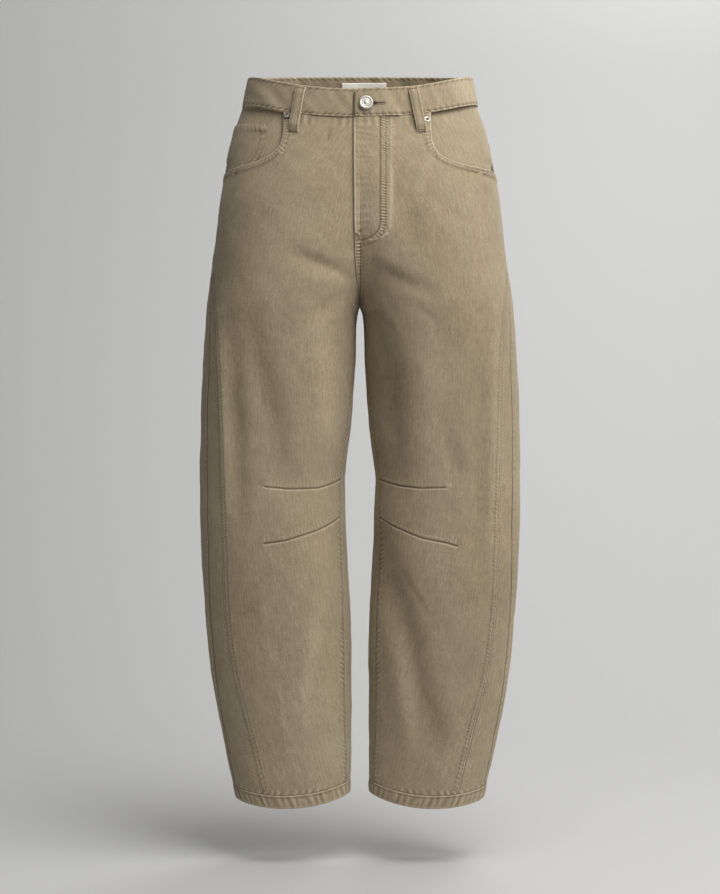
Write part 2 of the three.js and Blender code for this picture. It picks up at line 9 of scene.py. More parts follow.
import bpy
import numpy as np
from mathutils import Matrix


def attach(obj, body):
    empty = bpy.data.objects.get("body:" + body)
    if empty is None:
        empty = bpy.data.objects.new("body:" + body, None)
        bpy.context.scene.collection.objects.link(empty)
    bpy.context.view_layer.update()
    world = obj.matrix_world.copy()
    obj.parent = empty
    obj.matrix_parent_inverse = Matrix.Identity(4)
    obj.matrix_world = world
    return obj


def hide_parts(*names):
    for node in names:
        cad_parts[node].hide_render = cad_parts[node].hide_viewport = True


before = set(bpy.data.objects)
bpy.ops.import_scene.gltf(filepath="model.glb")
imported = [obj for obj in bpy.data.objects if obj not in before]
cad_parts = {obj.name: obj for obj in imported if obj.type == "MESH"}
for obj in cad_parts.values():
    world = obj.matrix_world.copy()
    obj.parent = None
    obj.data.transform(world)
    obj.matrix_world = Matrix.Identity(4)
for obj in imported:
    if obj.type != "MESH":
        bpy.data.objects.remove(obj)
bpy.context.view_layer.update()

MM = 0.001
HALF_BAND = 17.5
SEAM_GAP = 0.3
HALF_GAP = SEAM_GAP / 2
BAND_SEAM = -HALF_BAND - HALF_GAP
FRONT_DIP = 27
BACK_RISE = 18
LEVELLED_OUT = -170
HEM_SEAM = -895
HEM_TOP = HEM_SEAM + HALF_GAP
HEM_EDGE = -911.5
HEM_TAPER_START = -800
HEM_SAG = 11.5
HEM_SLANT = 3.5
CLOTH = 1.5
FLY = dict(edge=8, under=7, foot=-186, join=-192, fade=-216, lift=2.4, flat=14, fade_out=46)
BAND = dict(edge=8, under=22, lift=3.4, flat=30, fade_out=62, out=0.8, inside=2.2)
POCKET = dict(foot=-108, facing=12, sweep=1.48)
MOUTH = {1: dict(x=90, drop=0.42), -1: dict(x=97, drop=0.5)}
SIDE_PANEL = dict(top=-246, top_width=3)
YOKE = dict(side=-64, centre=-98, flat_at=-150)
YOKE_MIDDLE = (YOKE["side"] + YOKE["centre"]) / 2
LOOP = dict(width=12.6, thick=1.8, stand=3.3, below=25.5, slope=0.16, row=4.3)
# How far a row of stitches runs from a turned edge, and from the waistband's seam.
EDGE_ROW, SEAM_ROW = 2.2, 2.4
FRONT_LOOPS = {1: (66, 77.5), -1: (74, 84)}
BUTTON = dict(x=7.5, level=-2)
RIVET = {1: (84.8, -27), -1: (91.5, -23.8)}
CROTCH = -278

FORM_COLUMNS = (
    "level outer inner front back frontX backX squareFI squareFO squareBO squareBI"
)
FORM_ROWS = [
    [36, 143.5, -150, 77, 80, 0, 0, 2.2, 2.25, 2.2, 2.2],
    [19, 145.5, -150, 78, 82, 0, 0, 2.2, 2.25, 2.2, 2.2],
    [-19, 152.5, -150, 84, 93, 0, 0, 2.2, 2.3, 2.25, 2.2],
    [-47, 162.5, -150, 90, 104, 8, 10, 2.2, 2.35, 2.25, 2.2],
    [-86, 172, -150, 96, 117, 24, 28, 2.2, 2.4, 2.3, 2.3],
    [-125, 179.5, -130, 99, 125, 42, 46, 2.2, 2.45, 2.3, 2.4],
    [-164, 184.5, -95, 101, 128, 58, 62, 2.2, 2.5, 2.35, 2.5],
    [-203, 188.5, -50, 102, 126, 70, 74, 2.3, 2.5, 2.35, 2.5],
    [-230, 192, -26, 102, 122, 76, 80, 2.4, 2.5, 2.35, 2.5],
    [-250, 195, -12, 101.5, 118, 80, 84, 2.4, 2.5, 2.3, 2.5],
    [-265, 197, -4, 101, 114, 84, 87, 2.4, 2.5, 2.3, 2.5],
    [-278, 198.7, 0.15, 100.5, 111, 88, 90, 2.4, 2.5, 2.3, 2.4],
    [-290, 199.8, 4.2, 99.5, 108, 90, 92, 2.4, 2.5, 2.3, 2.4],
    [-353, 203.8, 6.5, 92, 101, 100, 100, 2.3, 2.45, 2.25, 2.3],
    [-431, 207.3, 11, 84, 94, 108, 108, 2.25, 2.4, 2.2, 2.2],
    [-509, 208.3, 19.5, 77, 88, 112, 112, 2.2, 2.35, 2.15, 2.2],
    [-587, 206.7, 17.5, 72, 83, 110, 110, 2.2, 2.3, 2.15, 2.15],
    [-665, 202, 13, 65, 78, 105, 105, 2.15, 2.25, 2.1, 2.1],
    [-743, 195.5, 11, 57, 73, 100, 100, 2.1, 2.2, 2.1, 2.1],
    [-821, 182, 11, 49, 67, 94, 94, 2.1, 2.15, 2.1, 2.1],
    [-895, 164.8, 11.7, 42, 61, 88, 88, 2.1, 2.1, 2.1, 2.1],
    [-915, 160.5, 12, 40, 59, 86, 86, 2.1, 2.1, 2.1, 2.1],
]
SEAM_COLUMNS = "level inseam outseam panel"
SEAM_ROWS = [
    [36, 0, 0, 0],
    [-150, 0, 0, 0],
    [-200, 0, 8, 0],
    [-230, 0, 28, 2],
    [-262, 0, 46, 8],
    [-278, 0, 51, 11],
    [-300, 14, 55, 15],
    [-353, 26, 57, 20],
    [-431, 32, 55, 24],
    [-509, 31, 52, 25],
    [-587, 33, 46, 26],
    [-665, 34, 36, 28],
    [-743, 31, 30, 31],
    [-821, 25, 23, 40],
    [-895, 19, 18, 44],
    [-915, 18, 17, 44],
]

# Folds and ridges, seen from the front (face -1) or the back (face 1). leg is -1 for the wearer's
# right, 1 for the left and 0 for both, whose x is then mirrored. depth below 0 is a trough.
FOLD_COLUMNS = "leg face x1 z1 x2 z2 width depth"
FOLD_ROWS = [
    [-1, -1, 18, -240, 84, -218, 10, -2.8],
    [-1, -1, 14, -262, 92, -242, 13, 1.4],
    [-1, -1, 140, -296, 92, -500, 17, -4.4],
    [-1, -1, 160, -300, 150, -560, 11, -2.6],
    [-1, -1, 52, -320, 44, -470, 15, 2.8],
    [-1, -1, 48, -640, 78, -812, 15, 3.4],
    [-1, -1, 178, -290, 168, -540, 8, 3.2],
    [1, -1, 12, -238, 88, -266, 11, -3.2],
    [1, -1, 64, -160, 66, -204, 12, -2.6],
    [1, -1, 34, -312, 46, -506, 17, -4.8],
    [1, -1, 84, -330, 86, -500, 20, 2.6],
    [1, -1, 110, -448, 128, -506, 11, -2],
    [1, -1, 27, -580, 96, -836, 18, -6],
    [1, -1, 46, -700, 62, -850, 13, 3.4],
    [1, -1, 172, -290, 168, -640, 9, 3.2],
    [1, -1, 152, -320, 148, -600, 12, -2.2],
    [0, 1, 22, -250, 120, -300, 16, -4],
    [0, 1, 24, -284, 112, -338, 15, 3],
    [0, 1, 60, -350, 84, -520, 18, -3.6],
    [0, 1, 130, -480, 92, -640, 18, 3.4],
    [0, 1, 60, -600, 120, -800, 18, -3.8],
    [0, 1, 104, -700, 84, -860, 14, 2.6],
]
# Smaller creases, in the same columns.
CREASE_ROWS = [
    [-1, -1, 8, -250, 66, -222, 6, -1.1],
    [-1, -1, 12, -262, 60, -292, 6, -1.2],
    [-1, -1, 20, -282, 84, -330, 8, 1],
    [-1, -1, 22, -300, 40, -352, 5, -0.9],
    [-1, -1, 88, -148, 128, -176, 7, -0.8],
    [-1, -1, 62, -560, 104, -600, 6, -0.9],
    [-1, -1, 40, -690, 56, -744, 5, -0.9],
    [-1, -1, 108, -760, 92, -850, 6, 1],
    [-1, -1, 126, -640, 118, -730, 7, 0.9],
    [1, -1, 22, -232, 62, -256, 6, -1.4],
    [1, -1, 16, -262, 52, -318, 6, 1.2],
    [1, -1, 18, -288, 30, -352, 5, -1],
    [1, -1, 66, -280, 104, -310, 7, -0.9],
    [1, -1, 96, -150, 134, -178, 7, -0.8],
    [1, -1, 52, -620, 88, -676, 5, -1],
    [1, -1, 88, -692, 60, -734, 5, -1.1],
    [1, -1, 66, -756, 98, -802, 6, -0.9],
    [1, -1, 120, -820, 104, -880, 6, 0.8],
    [0, 1, 10, -262, 64, -274, 6, -1.3],
    [0, 1, 30, -318, 92, -348, 6, -1],
    [0, 1, 52, -494, 112, -512, 6, -1.2],
    [0, 1, 60, -540, 116, -526, 6, -1],
    [0, 1, 84, -830, 104, -884, 6, 0.8],
]


def columns(names, rows):
    return dict(zip(names.split(), np.array(rows, float).T))


def rising(names, rows):
    return columns(names, sorted(rows))


def smooth(t):
    t = np.clip(t, 0, 1)
    return t * t * (3 - 2 * t)


def mix(a, b, t):
    return a + (b - a) * t


def read(table, column, level):
    """A column at a level, on a smooth curve that never overshoots its rows."""
    z, v = table["level"], table[column]
    step = np.diff(v) / np.diff(z)
    before, after = np.r_[step[0], step], np.r_[step, step[-1]]
    both = before * after
    slope = np.where(both > 0, 2 * both / np.where(both > 0, before + after, 1), 0)
    level = np.clip(level, z[0], z[-1])
    i = np.clip(np.searchsorted(z, level) - 1, 0, len(z) - 2)
    run = z[i + 1] - z[i]
    t = (level - z[i]) / run
    t2, t3 = t**2, t**3
    return (
        (2 * t3 - 3 * t2 + 1) * v[i]
        + (t3 - 2 * t2 + t) * run * slope[i]
        + (3 * t2 - 2 * t3) * v[i + 1]
        + (t3 - t2) * run * slope[i + 1]
    )


FORM = rising(FORM_COLUMNS, FORM_ROWS)
SEAM = rising(SEAM_COLUMNS, SEAM_ROWS)
FOLDS = columns(FOLD_COLUMNS, FOLD_ROWS + CREASE_ROWS)
MID_DEPTH = 6
CORNER_STEPS = 160

# The form, read once at each of these levels and at each millimetre round the leg.
STATIONS = np.r_[np.arange(-918, -300, 1.5), np.arange(-300, -250, 0.25), np.arange(-250, 37, 1.5)]
ROUND = np.arange(-430.0, 430.5, 1.0)


def corner(cx, rx, ry, square, turn):
    angle = np.arange(CORNER_STEPS) / CORNER_STEPS * (math.pi / 2)
    near, far = np.cos(angle) ** (2 / square), np.sin(angle) ** (2 / square)
    if turn:
        near, far = far, near
    return np.stack([cx + rx * near, MID_DEPTH + ry * far], 1)


def measure_form():
    f = {name: read(FORM, name, STATIONS) for name in FORM_COLUMNS.split()[1:]}
    inseam = read(SEAM, "inseam", STATIONS)
    xs, ys, starts, ends = [], [], [], []
    for k in range(len(STATIONS)):
        at = {name: values[k] for name, values in f.items()}
        fore, aft = -at["front"] - MID_DEPTH, at["back"] - MID_DEPTH
        outline = np.concatenate([
            corner(at["frontX"], at["inner"] - at["frontX"], fore, at["squareFI"], False),
            corner(at["frontX"], at["outer"] - at["frontX"], fore, at["squareFO"], True),
            corner(at["backX"], at["outer"] - at["backX"], aft, at["squareBO"], False),
            corner(at["backX"], at["inner"] - at["backX"], aft, at["squareBI"], True),
        ])
        outline = np.vstack([outline, outline[:1]])
        arc = np.r_[0, np.cumsum(np.hypot(*np.diff(outline, axis=0).T))]
        whole, side = arc[-1], arc[2 * CORNER_STEPS]
        x, y = outline.T
        if at["inner"] < HALF_GAP:
            half = 2 * CORNER_STEPS
            start = np.interp(HALF_GAP, x[: half + 1], arc[: half + 1])
            end = np.interp(-HALF_GAP, -x[half:], arc[half:])
        else:
            start, end = inseam[k], whole + inseam[k]
        where = (ROUND + side) % whole
        xs.append(np.interp(where, arc, x))
        ys.append(np.interp(where, arc, y))
        starts.append(start - side)
        ends.append(end - side)
    f.update(start=np.array(starts), end=np.array(ends))
    return np.array(xs), np.array(ys), f


FORM_X, FORM_Y, FORM_AT = measure_form()


def at_level(name, level):
    return np.interp(level, STATIONS, FORM_AT[name])


def across_form(g, level):
    """x and y of the left leg at a distance round it and a level."""
    i = np.clip(np.searchsorted(STATIONS, level) - 1, 0, len(STATIONS) - 2)
    t = np.clip((level - STATIONS[i]) / (STATIONS[i + 1] - STATIONS[i]), 0, 1)
    k = np.clip(np.floor(g - ROUND[0]).astype(int), 0, len(ROUND) - 2)
    f = g - ROUND[0] - k
    found = []
    for field in (FORM_X, FORM_Y):
        upper = mix(field[i, k], field[i, k + 1], f)
        lower = mix(field[i + 1, k], field[i + 1, k + 1], f)
        found.append(mix(upper, lower, t))
    return found


def place(side, g, level):
    x, y = across_form(g, level)
    front, back = at_level("front", level), at_level("back", level)
    outer, inner = at_level("outer", level), at_level("inner", level)
    waist = smooth((level - LEVELLED_OUT) / (-HALF_BAND - LEVELLED_OUT))
    dip = -FRONT_DIP * np.clip(-y / front, 0, 1) ** 2.2
    depth = np.where(y < 0, dip, BACK_RISE * y / back)
    hem = smooth((HEM_TAPER_START - level) / (HEM_TAPER_START - HEM_SEAM))
    across = (2 * np.abs(x) - outer - inner) / (outer - inner)
    sag = -HEM_SLANT * across - HEM_SAG * np.clip(1 - across**2, 0, None)
    return np.stack([side * x, y, level + waist * depth + hem * sag], -1)


CENTRE_CALM = 16


def folds(point, normal):
    height = np.zeros(point.shape[:-1])
    x, z = np.abs(point[..., 0]), point[..., 2]
    leg = np.where(point[..., 0] < 0, -1, 1)
    for k in range(len(FOLDS["leg"])):
        fold = {name: values[k] for name, values in FOLDS.items()}
        shown = smooth(fold["face"] * normal[..., 1] / 0.45)
        if fold["leg"]:
            shown = np.where(leg == fold["leg"], shown, 0)
        dx, dz = fold["x2"] - fold["x1"], fold["z2"] - fold["z1"]
        t = ((x - fold["x1"]) * dx + (z - fold["z1"]) * dz) / (dx * dx + dz * dz)
        t = np.clip(t, 0, 1)
        away = np.hypot(x - fold["x1"] - t * dx, z - fold["z1"] - t * dz)
        fade = np.sin(math.pi * np.clip(0.12 + 0.76 * t, 0, 1))
        height += shown * fade * fold["depth"] * np.exp(-((away / fold["width"]) ** 2))
    return height * smooth(x / CENTRE_CALM)


WAVES = np.random.default_rng(7).normal(size=(14, 3))
PHASES = np.random.default_rng(8).uniform(0, 2 * math.pi, 14)


def ripple(point, size):
    """Soft uneven heights of about 1, whose bumps are about that size across."""
    total = 0
    for wave, phase in zip(WAVES, PHASES):
        total = total + np.sin(point @ (wave * 2.2 / size) + phase)
    return total / 3.7


PROBE = 1.5


def bare_skin(side, g, level):
    """Points and outward normals of the form, where past the centre it is the other half's."""
    g, level = np.broadcast_arrays(np.asarray(g, float), np.asarray(level, float))
    joined = at_level("inner", level) < HALF_GAP
    start, end = at_level("start", level), at_level("end", level)
    before, after = joined & (g < start), joined & (g > end)
    side = np.where(before | after, -side, side)
    g = np.where(before, 2 * start - g, np.where(after, 2 * end - g, g))
    point = place(side, g, level)
    around = place(side, g + PROBE, level) - place(side, g - PROBE, level)
    down = place(side, g, level - PROBE) - place(side, g, level + PROBE)
    normal = np.cross(down, around) * side[..., None]
    normal /= np.linalg.norm(normal, axis=-1, keepdims=True)
    return point, normal


def round_at(x, level, way):
    """The distance round at which the front (way -1) or the back (way 1) has a given x."""
    level = np.asarray(level, float)
    low = at_level("start" if way < 0 else "end", level)
    high = np.zeros_like(low)
    for _ in range(36):
        half = (low + high) / 2
        within = across_form(half, level)[0] < x
        low, high = np.where(within, half, low), np.where(within, high, half)
    return (low + high) / 2


# Seams. A seam is a path in g and level. up says which side of it is lapped and stitched.
def even(path, step=None, count=None):
    """The path again, with points evenly spaced along it."""
    path = np.asarray(path, float)
    far = np.r_[0, np.cumsum(np.hypot(*np.diff(path, axis=0).T))]
    count = count or max(2, int(round(far[-1] / step)) + 1)
    where = np.linspace(0, far[-1], count)
    return np.stack([np.interp(where, far, path[:, 0]), np.interp(where, far, path[:, 1])], 1)


def beside(path, offset):
    """The path moved to its left by an offset."""
    run = np.gradient(path, axis=0)
    run /= np.linalg.norm(run, axis=1, keepdims=True)
    return path + offset * np.stack([-run[:, 1], run[:, 0]], 1)


# dark is painted shade: how strongly the colour darkens along the seam line, where its groove is
# shaded.
def seam(path, up=1, width=9.0, height=0.5, groove=0.7, rows=(2.0, 8.5), pucker=0.4, pitch=6.5,
         slant=0.4, fade=10.0, edge=0.8, reach=None, dark=1.1, stain=2.6, line=0.9,
         under=0.0):
    return dict(path=even(path, step=5), up=up, width=width, height=height, groove=groove,
                rows=rows, pucker=pucker, pitch=pitch, slant=slant, fade=fade, edge=edge,
                reach=reach or width, dark=dark, stain=stain, line=line, under=under)


REACH = 30


def along_seam(path, g, level):
    """Signed distance from the path, positive on its left, and how far along it that is."""
    a, run = path[:-1], np.diff(path, axis=0)
    length = np.hypot(*run.T)
    far = np.r_[0, np.cumsum(length)][:-1]
    away, along = np.empty_like(g), np.empty_like(g)
    for first in range(0, len(g), 8000):
        part = slice(first, first + 8000)
        dx = g[part, None] - a[:, 0]
        dy = level[part, None] - a[:, 1]
        t = np.clip((dx * run[:, 0] + dy * run[:, 1]) / length**2, 0, 1)
        distance = np.hypot(dx - t * run[:, 0], dy - t * run[:, 1])
        j = np.argmin(distance, 1)
        i = np.arange(len(j))
        left = run[j, 0] * dy[i, j] - run[j, 1] * dx[i, j]
        away[part] = distance[i, j] * np.where(left < 0, -1, 1)
        along[part] = far[j] + t[i, j] * length[j]
    return away, along, far[-1] + length[-1]


def seam_relief(s, g, level):
    """The height that a seam gives the cloth, and its colour shift: above 0 lighter where the cloth
    is rubbed, below 0 darker as painted shade in its groove and stitch rows, and in the troughs of
    its puckers.
    """
    height, wear_and_shade = np.zeros(g.shape), np.zeros(g.shape)
    path = s["path"]
    low, high = path.min(0) - REACH, path.max(0) + REACH
    near = (g > low[0]) & (g < high[0]) & (level > low[1]) & (level < high[1])
    if not near.any():
        return height, wear_and_shade
    away, along, whole = along_seam(path, g[near], level[near])
    over = away * s["up"]
    ends = smooth((along + s["fade"]) / s["fade"]) * smooth((whole - along + s["fade"]) / s["fade"])
    lap = smooth((over + 0.3) / 1.2) * (1 - smooth((over - s["width"]) / 2.2))
    h = s["height"] * lap - s["groove"] * np.exp(-((away / 1.0) ** 2))
    w = s["edge"] * np.exp(-(((over - 1.1) / 0.8) ** 2))
    w = w + s["under"] * np.exp(-(((over + 1.9) / 0.8) ** 2))
    # Painted shade: the colour darkens along the seam line, and in each stitch row's pressed groove
    # below.
    w = w - s["dark"] * np.exp(-((away / s["line"]) ** 2))
    for row in s["rows"]:
        h = h - 0.35 * np.exp(-(((over - row) / 0.9) ** 2))
        w = w - 0.75 * np.exp(-(((over - row) / 0.9) ** 2))
    drift = 1.3 * np.sin(along / 13.3) + 0.9 * np.sin(along / 5.9 + 2)
    wave = np.sin(2 * math.pi * (along + s["slant"] * over + drift) / s["pitch"])
    uneven = 0.6 + 0.3 * np.sin(along / 23.7 + 1) + 0.3 * np.sin(along / 8.3 + 0.05 * over)
    band = smooth((over - 0.4) / 2.0) * (1 - smooth((over - s["reach"] + 0.5) / 3.2))
    h = h + s["pucker"] * uneven * wave * band
    w = w + s["stain"] * s["pucker"] * uneven * wave * band
    height[near], wear_and_shade[near] = h * ends, w * ends
    return height, wear_and_shade


class Piece:
    """A piece of cloth on one half of the form, with the seams that shape it and its lift."""

    def __init__(self, side, seams=(), lift=lambda g, level: 0.0):
        self.side, self.seams, self.lift = side, list(seams), lift

    def at(self, g, level, off=0.0):
        g, level = np.broadcast_arrays(np.asarray(g, float), np.asarray(level, float))
        point, normal = bare_skin(self.side, g, level)
        height = folds(point, normal) + 0.5 * ripple(point, 58)
        height = height + 0.24 * ripple(point, 25) + 0.07 * ripple(point, 11)
        height = height + self.lift(g, level) + off
        # The colour follows the folds: lighter on their rubbed ridges, and darker in their troughs
        # as painted shade.
        wear_and_shade = 0.12 * ripple(point, 75) + 0.11 * folds(point, normal)
        flat_g, flat_level = g.ravel(), level.ravel()
        for s in self.seams:
            h, w = seam_relief(s, flat_g, flat_level)
            height = height + h.reshape(g.shape)
            wear_and_shade = wear_and_shade + w.reshape(g.shape)
        return point + normal * height[..., None], normal, wear_and_shade


# Finishes
def principled(name):
    material = bpy.data.materials.new(name)
    material.use_nodes = True
    tree = material.node_tree
    return material, tree, tree.nodes["Principled BSDF"]


def set_inputs(node, values):
    for name, value in values.items():
        node.inputs[name].default_value = value


def noise(tree, vector, scale, detail=2.0, rough=0.5):
    node = tree.nodes.new("ShaderNodeTexNoise")
    set_inputs(node, {"Scale": scale, "Detail": detail, "Roughness": rough})
    tree.links.new(vector, node.inputs["Vector"])
    return node.outputs["Fac"]


def remap(tree, value, low, high, to_low, to_high):
    node = tree.nodes.new("ShaderNodeMapRange")
    set_inputs(node, {"From Min": low, "From Max": high, "To Min": to_low, "To Max": to_high})
    tree.links.new(value, node.inputs["Value"])
    return node.outputs["Result"]


def stretched(tree, vector, scale, angle=0.0):
    node = tree.nodes.new("ShaderNodeMapping")
    set_inputs(node, {"Scale": scale, "Rotation": (0, 0, angle)})
    tree.links.new(vector, node.inputs["Vector"])
    return node.outputs["Vector"]


def ramp(tree, value, stops):
    node = tree.nodes.new("ShaderNodeValToRGB")
    elements = node.color_ramp.elements
    for k, (where, colour) in enumerate(stops):
        element = elements[k] if k < 2 else elements.new(where)
        element.position = where
        element.color = (*colour, 1)
    tree.links.new(value, node.inputs["Fac"])
    return node.outputs["Color"]


def bump(tree, height, strength, distance, below=None):
    node = tree.nodes.new("ShaderNodeBump")
    set_inputs(node, {"Strength": strength, "Distance": distance})
    tree.links.new(height, node.inputs["Height"])
    if below is not None:
        tree.links.new(below, node.inputs["Normal"])
    return node.outputs["Normal"]


def weighted(tree, parts):
    """The sum of values, each times its weight."""
    total = None
    for value, weight in parts:
        node = tree.nodes.new("ShaderNodeMath")
        node.operation = "MULTIPLY_ADD"
        tree.links.new(value, node.inputs[0])
        node.inputs[1].default_value = weight
        node.inputs[2].default_value = 0
        if total is not None:
            tree.links.new(total, node.inputs[2])
        total = node.outputs[0]
    return total


def blended(tree, share, a, b):
    node = tree.nodes.new("ShaderNodeMix")
    node.data_type = "RGBA"
    tree.links.new(share, node.inputs["Factor"])
    for socket, colour in zip((node.inputs[6], node.inputs[7]), (a, b)):
        if isinstance(colour, tuple):
            socket.default_value = (*colour, 1)
        else:
            tree.links.new(colour, socket)
    return node.outputs[2]


def twill_finish(name, dark, mid, light, sheen, cast=None):
    """Washed cotton twill: colour in clouds, slubs along the warp, a diagonal weave, rubbed lighter
    ridges and edges, and painted shade in seam grooves, stitch rows and fold troughs.
    cast is a cooler colour that comes and goes in clouds."""
    material, tree, shader = principled(name)
    coordinates = tree.nodes.new("ShaderNodeTexCoord")
    space, cloth = coordinates.outputs["Object"], coordinates.outputs["UV"]
    clouds = noise(tree, space, 10, 3, 0.55)
    mottle = noise(tree, space, 60, 5, 0.65)
    heather = noise(tree, stretched(tree, cloth, (430, 34, 1)), 1, 3, 0.62)
    slubs = noise(tree, stretched(tree, cloth, (1100, 130, 1)), 1, 2, 0.6)
    picks = noise(tree, stretched(tree, cloth, (150, 1000, 1)), 1, 2, 0.6)
    # The attribute read here holds the cloth's rubbing and painted shade: lighter on rubbed edges
    # and ridges, darker in seam grooves, stitch rows and fold troughs.
    worn = tree.nodes.new("ShaderNodeAttribute")
    worn.attribute_name = "wear_and_shade"
    tone = weighted(tree, [(clouds, 0.22), (mottle, 0.2), (heather, 0.42), (slubs, 0.5),
                                   (picks, 0.3), (worn.outputs["Fac"], 0.3)])
    tone = remap(tree, tone, 0.4, 1.24, 0, 1)
    colour = ramp(tree, tone, [(0.0, dark), (1.0, light), (0.5, mid)])
    if cast:
        drifts = remap(tree, noise(tree, space, 6.5, 2), 0.42, 0.68, 0, 0.3)
        colour = blended(tree, drifts, colour, cast)
    tree.links.new(colour, shader.inputs["Base Color"])
    set_inputs(shader, {"Roughness": 0.92, "Specular IOR Level": 0.18, "Sheen Weight": sheen,
                        "Sheen Roughness": 0.55, "Sheen Tint": (0.95, 0.9, 0.8, 1)})
    weave = tree.nodes.new("ShaderNodeTexWave")
    weave.wave_type, weave.bands_direction = "BANDS", "X"
    set_inputs(weave, {"Scale": 1, "Distortion": 1.2, "Detail": 1})
    tree.links.new(stretched(tree, cloth, (270, 270, 270), math.radians(58)),
              weave.inputs["Vector"])
    ridges = weighted(tree, [(weave.outputs["Fac"], 1.0), (slubs, 1.1), (picks, 0.6)])
    grain = bump(tree, ridges, 0.5, 0.0003)
    nap = bump(tree, weighted(tree, [(mottle, 1.0), (heather, 0.5)]), 0.45, 0.0016,
               grain)
    tree.links.new(nap, shader.inputs["Normal"])
    return material


def thread_finish(name, dark, light):
    material, tree, shader = principled(name)
    space = tree.nodes.new("ShaderNodeTexCoord").outputs["Object"]
    tone = noise(tree, space, 160, 2)
    tree.links.new(ramp(tree, tone, [(0.3, dark), (0.7, light)]), shader.inputs["Base Color"])
    fibres = noise(tree, space, 3000, 2)
    tree.links.new(bump(tree, fibres, 0.3, 0.0001), shader.inputs["Normal"])
    set_inputs(shader, {"Roughness": 0.7, "Sheen Weight": 0.2})
    return material


def nickel_finish(name, dark, light, rough):
    material, tree, shader = principled(name)
    space = tree.nodes.new("ShaderNodeTexCoord").outputs["Object"]
    tone = noise(tree, space, 420, 3)
    tree.links.new(ramp(tree, tone, [(0.35, dark), (0.65, light)]), shader.inputs["Base Color"])
    shader.inputs["Metallic"].default_value = 1
    tree.links.new(remap(tree, tone, 0.3, 0.7, rough, rough + 0.12), shader.inputs["Roughness"])
    scuffs = noise(tree, space, 900, 2)
    tree.links.new(bump(tree, scuffs, 0.15, 0.0001), shader.inputs["Normal"])
    return material


TWILL = twill_finish("twill", (0.15, 0.113, 0.07), (0.335, 0.266, 0.172), (0.56, 0.475, 0.34), 0.2,
                     cast=(0.345, 0.298, 0.203))
THREAD = thread_finish("thread", (0.14, 0.106, 0.062), (0.25, 0.195, 0.122))
HOLE_THREAD = thread_finish("buttonhole_thread", (0.2, 0.14, 0.075), (0.3, 0.22, 0.125))
# Near black: painted shade for the buttonhole's open cut.
SLIT_SHADE = thread_finish("slit", (0.012, 0.01, 0.007), (0.03, 0.024, 0.016))
NICKEL = nickel_finish("nickel", (0.46, 0.44, 0.4), (0.74, 0.72, 0.67), 0.44)
OLD_NICKEL = nickel_finish("rivet_centre", (0.03, 0.028, 0.025), (0.08, 0.075, 0.07), 0.4)
RIBBON = twill_finish("ribbon", (0.84, 0.82, 0.74), (0.95, 0.935, 0.87), (1.0, 0.99, 0.95), 0.3)
# A darker copy of the nickel: painted shade for a rivet that lies in a belt loop's shadow.
SHADED_NICKEL = nickel_finish("shaded_nickel", (0.12, 0.11, 0.1), (0.3, 0.28, 0.25), 0.5)


# Meshes
def mesh_object(name, points, faces, material, uv=None, wear_and_shade=None):
    """points in mm. uv and wear go by point."""
    mesh = bpy.data.meshes.new(name)
    mesh.vertices.add(len(points))
    mesh.vertices.foreach_set("co", (points * MM).ravel())
    mesh.loops.add(faces.size)
    mesh.loops.foreach_set("vertex_index", faces.ravel())
    mesh.polygons.add(len(faces))
    mesh.polygons.foreach_set("loop_start", np.arange(0, faces.size, faces.shape[1]))
    mesh.polygons.foreach_set("use_smooth", np.ones(len(faces), bool))
    mesh.materials.append(material)
    if uv is not None:
        layer = mesh.uv_layers.new(name="cloth")
        layer.uv.foreach_set("vector", (uv[faces.ravel()] * MM).ravel())
    if wear_and_shade is not None:
        mesh.attributes.new("wear_and_shade", "FLOAT", "POINT")
        mesh.attributes["wear_and_shade"].data.foreach_set("value", wear_and_shade.astype(np.float32))
    mesh.update()
    mesh.validate()
    made = bpy.data.objects.new(name, mesh)
    bpy.context.scene.collection.objects.link(made)
    return made


def grid_faces(down, across, ring=False, tube=False):
    """Quads over rows of points. ring joins the last column to the first, tube the last row."""
    rows, cols = (down if tube else down - 1), (across if ring else across - 1)
    j, i = np.meshgrid(np.arange(rows), np.arange(cols), indexing="ij")
    j2, i2 = (j + 1) % down, (i + 1) % across
    quads = np.stack([j * across + i, j2 * across + i, j2 * across + i2, j * across + i2], -1)
    return quads.reshape(-1, 4)


def no_slivers(points, faces):
    """Points that lie on each other are made one, and faces with no area are left out."""
    _, first, same = np.unique(np.round(points, 4), axis=0, return_index=True, return_inverse=True)
    faces = same.ravel()[faces]
    sides = [faces[:, k] != faces[:, (k + 1) % 4] for k in range(4)]
    whole = np.all(sides, axis=0) & (faces[:, 0] != faces[:, 2]) & (faces[:, 1] != faces[:, 3])
    three = ~whole & (np.sum(sides, axis=0) == 3)
    corners = []
    for face in faces[three]:
        kept = list(dict.fromkeys(face.tolist()))
        if len(kept) == 3:
            corners.append(kept)
    return first, faces[whole], np.array(corners, int).reshape(-1, 3)


def triangulated(points, faces):
    """Which points are kept, and the triangles between them."""
    first, quads, corners = no_slivers(points, faces)
    return first, np.concatenate([quads[:, [0, 1, 2]], quads[:, [0, 2, 3]], corners])


def build(name, points, faces, material, uv, wear_and_shade):
    first, triangles = triangulated(points, faces)
    return mesh_object(name + "_cloth", points[first], triangles, material, uv[first], wear_and_shade[first])


def shell(name, piece, g, level):
    """An open sheet over a grid of g and level, whose edges turn in by the cloth's depth."""
    g, level = (np.pad(v, 1, mode="edge") for v in (g, level))
    off = np.zeros(g.shape)
    off[[0, -1], :] = off[:, [0, -1]] = -CLOTH
    points, _, wear_and_shade = piece.at(g, level, off)
    faces = grid_faces(*g.shape)
    if piece.side < 0:
        faces = faces[:, ::-1]
    uv = np.stack([g.ravel(), level.ravel()], 1)
    return build(name, points.reshape(-1, 3), faces, TWILL, uv, wear_and_shade.ravel())


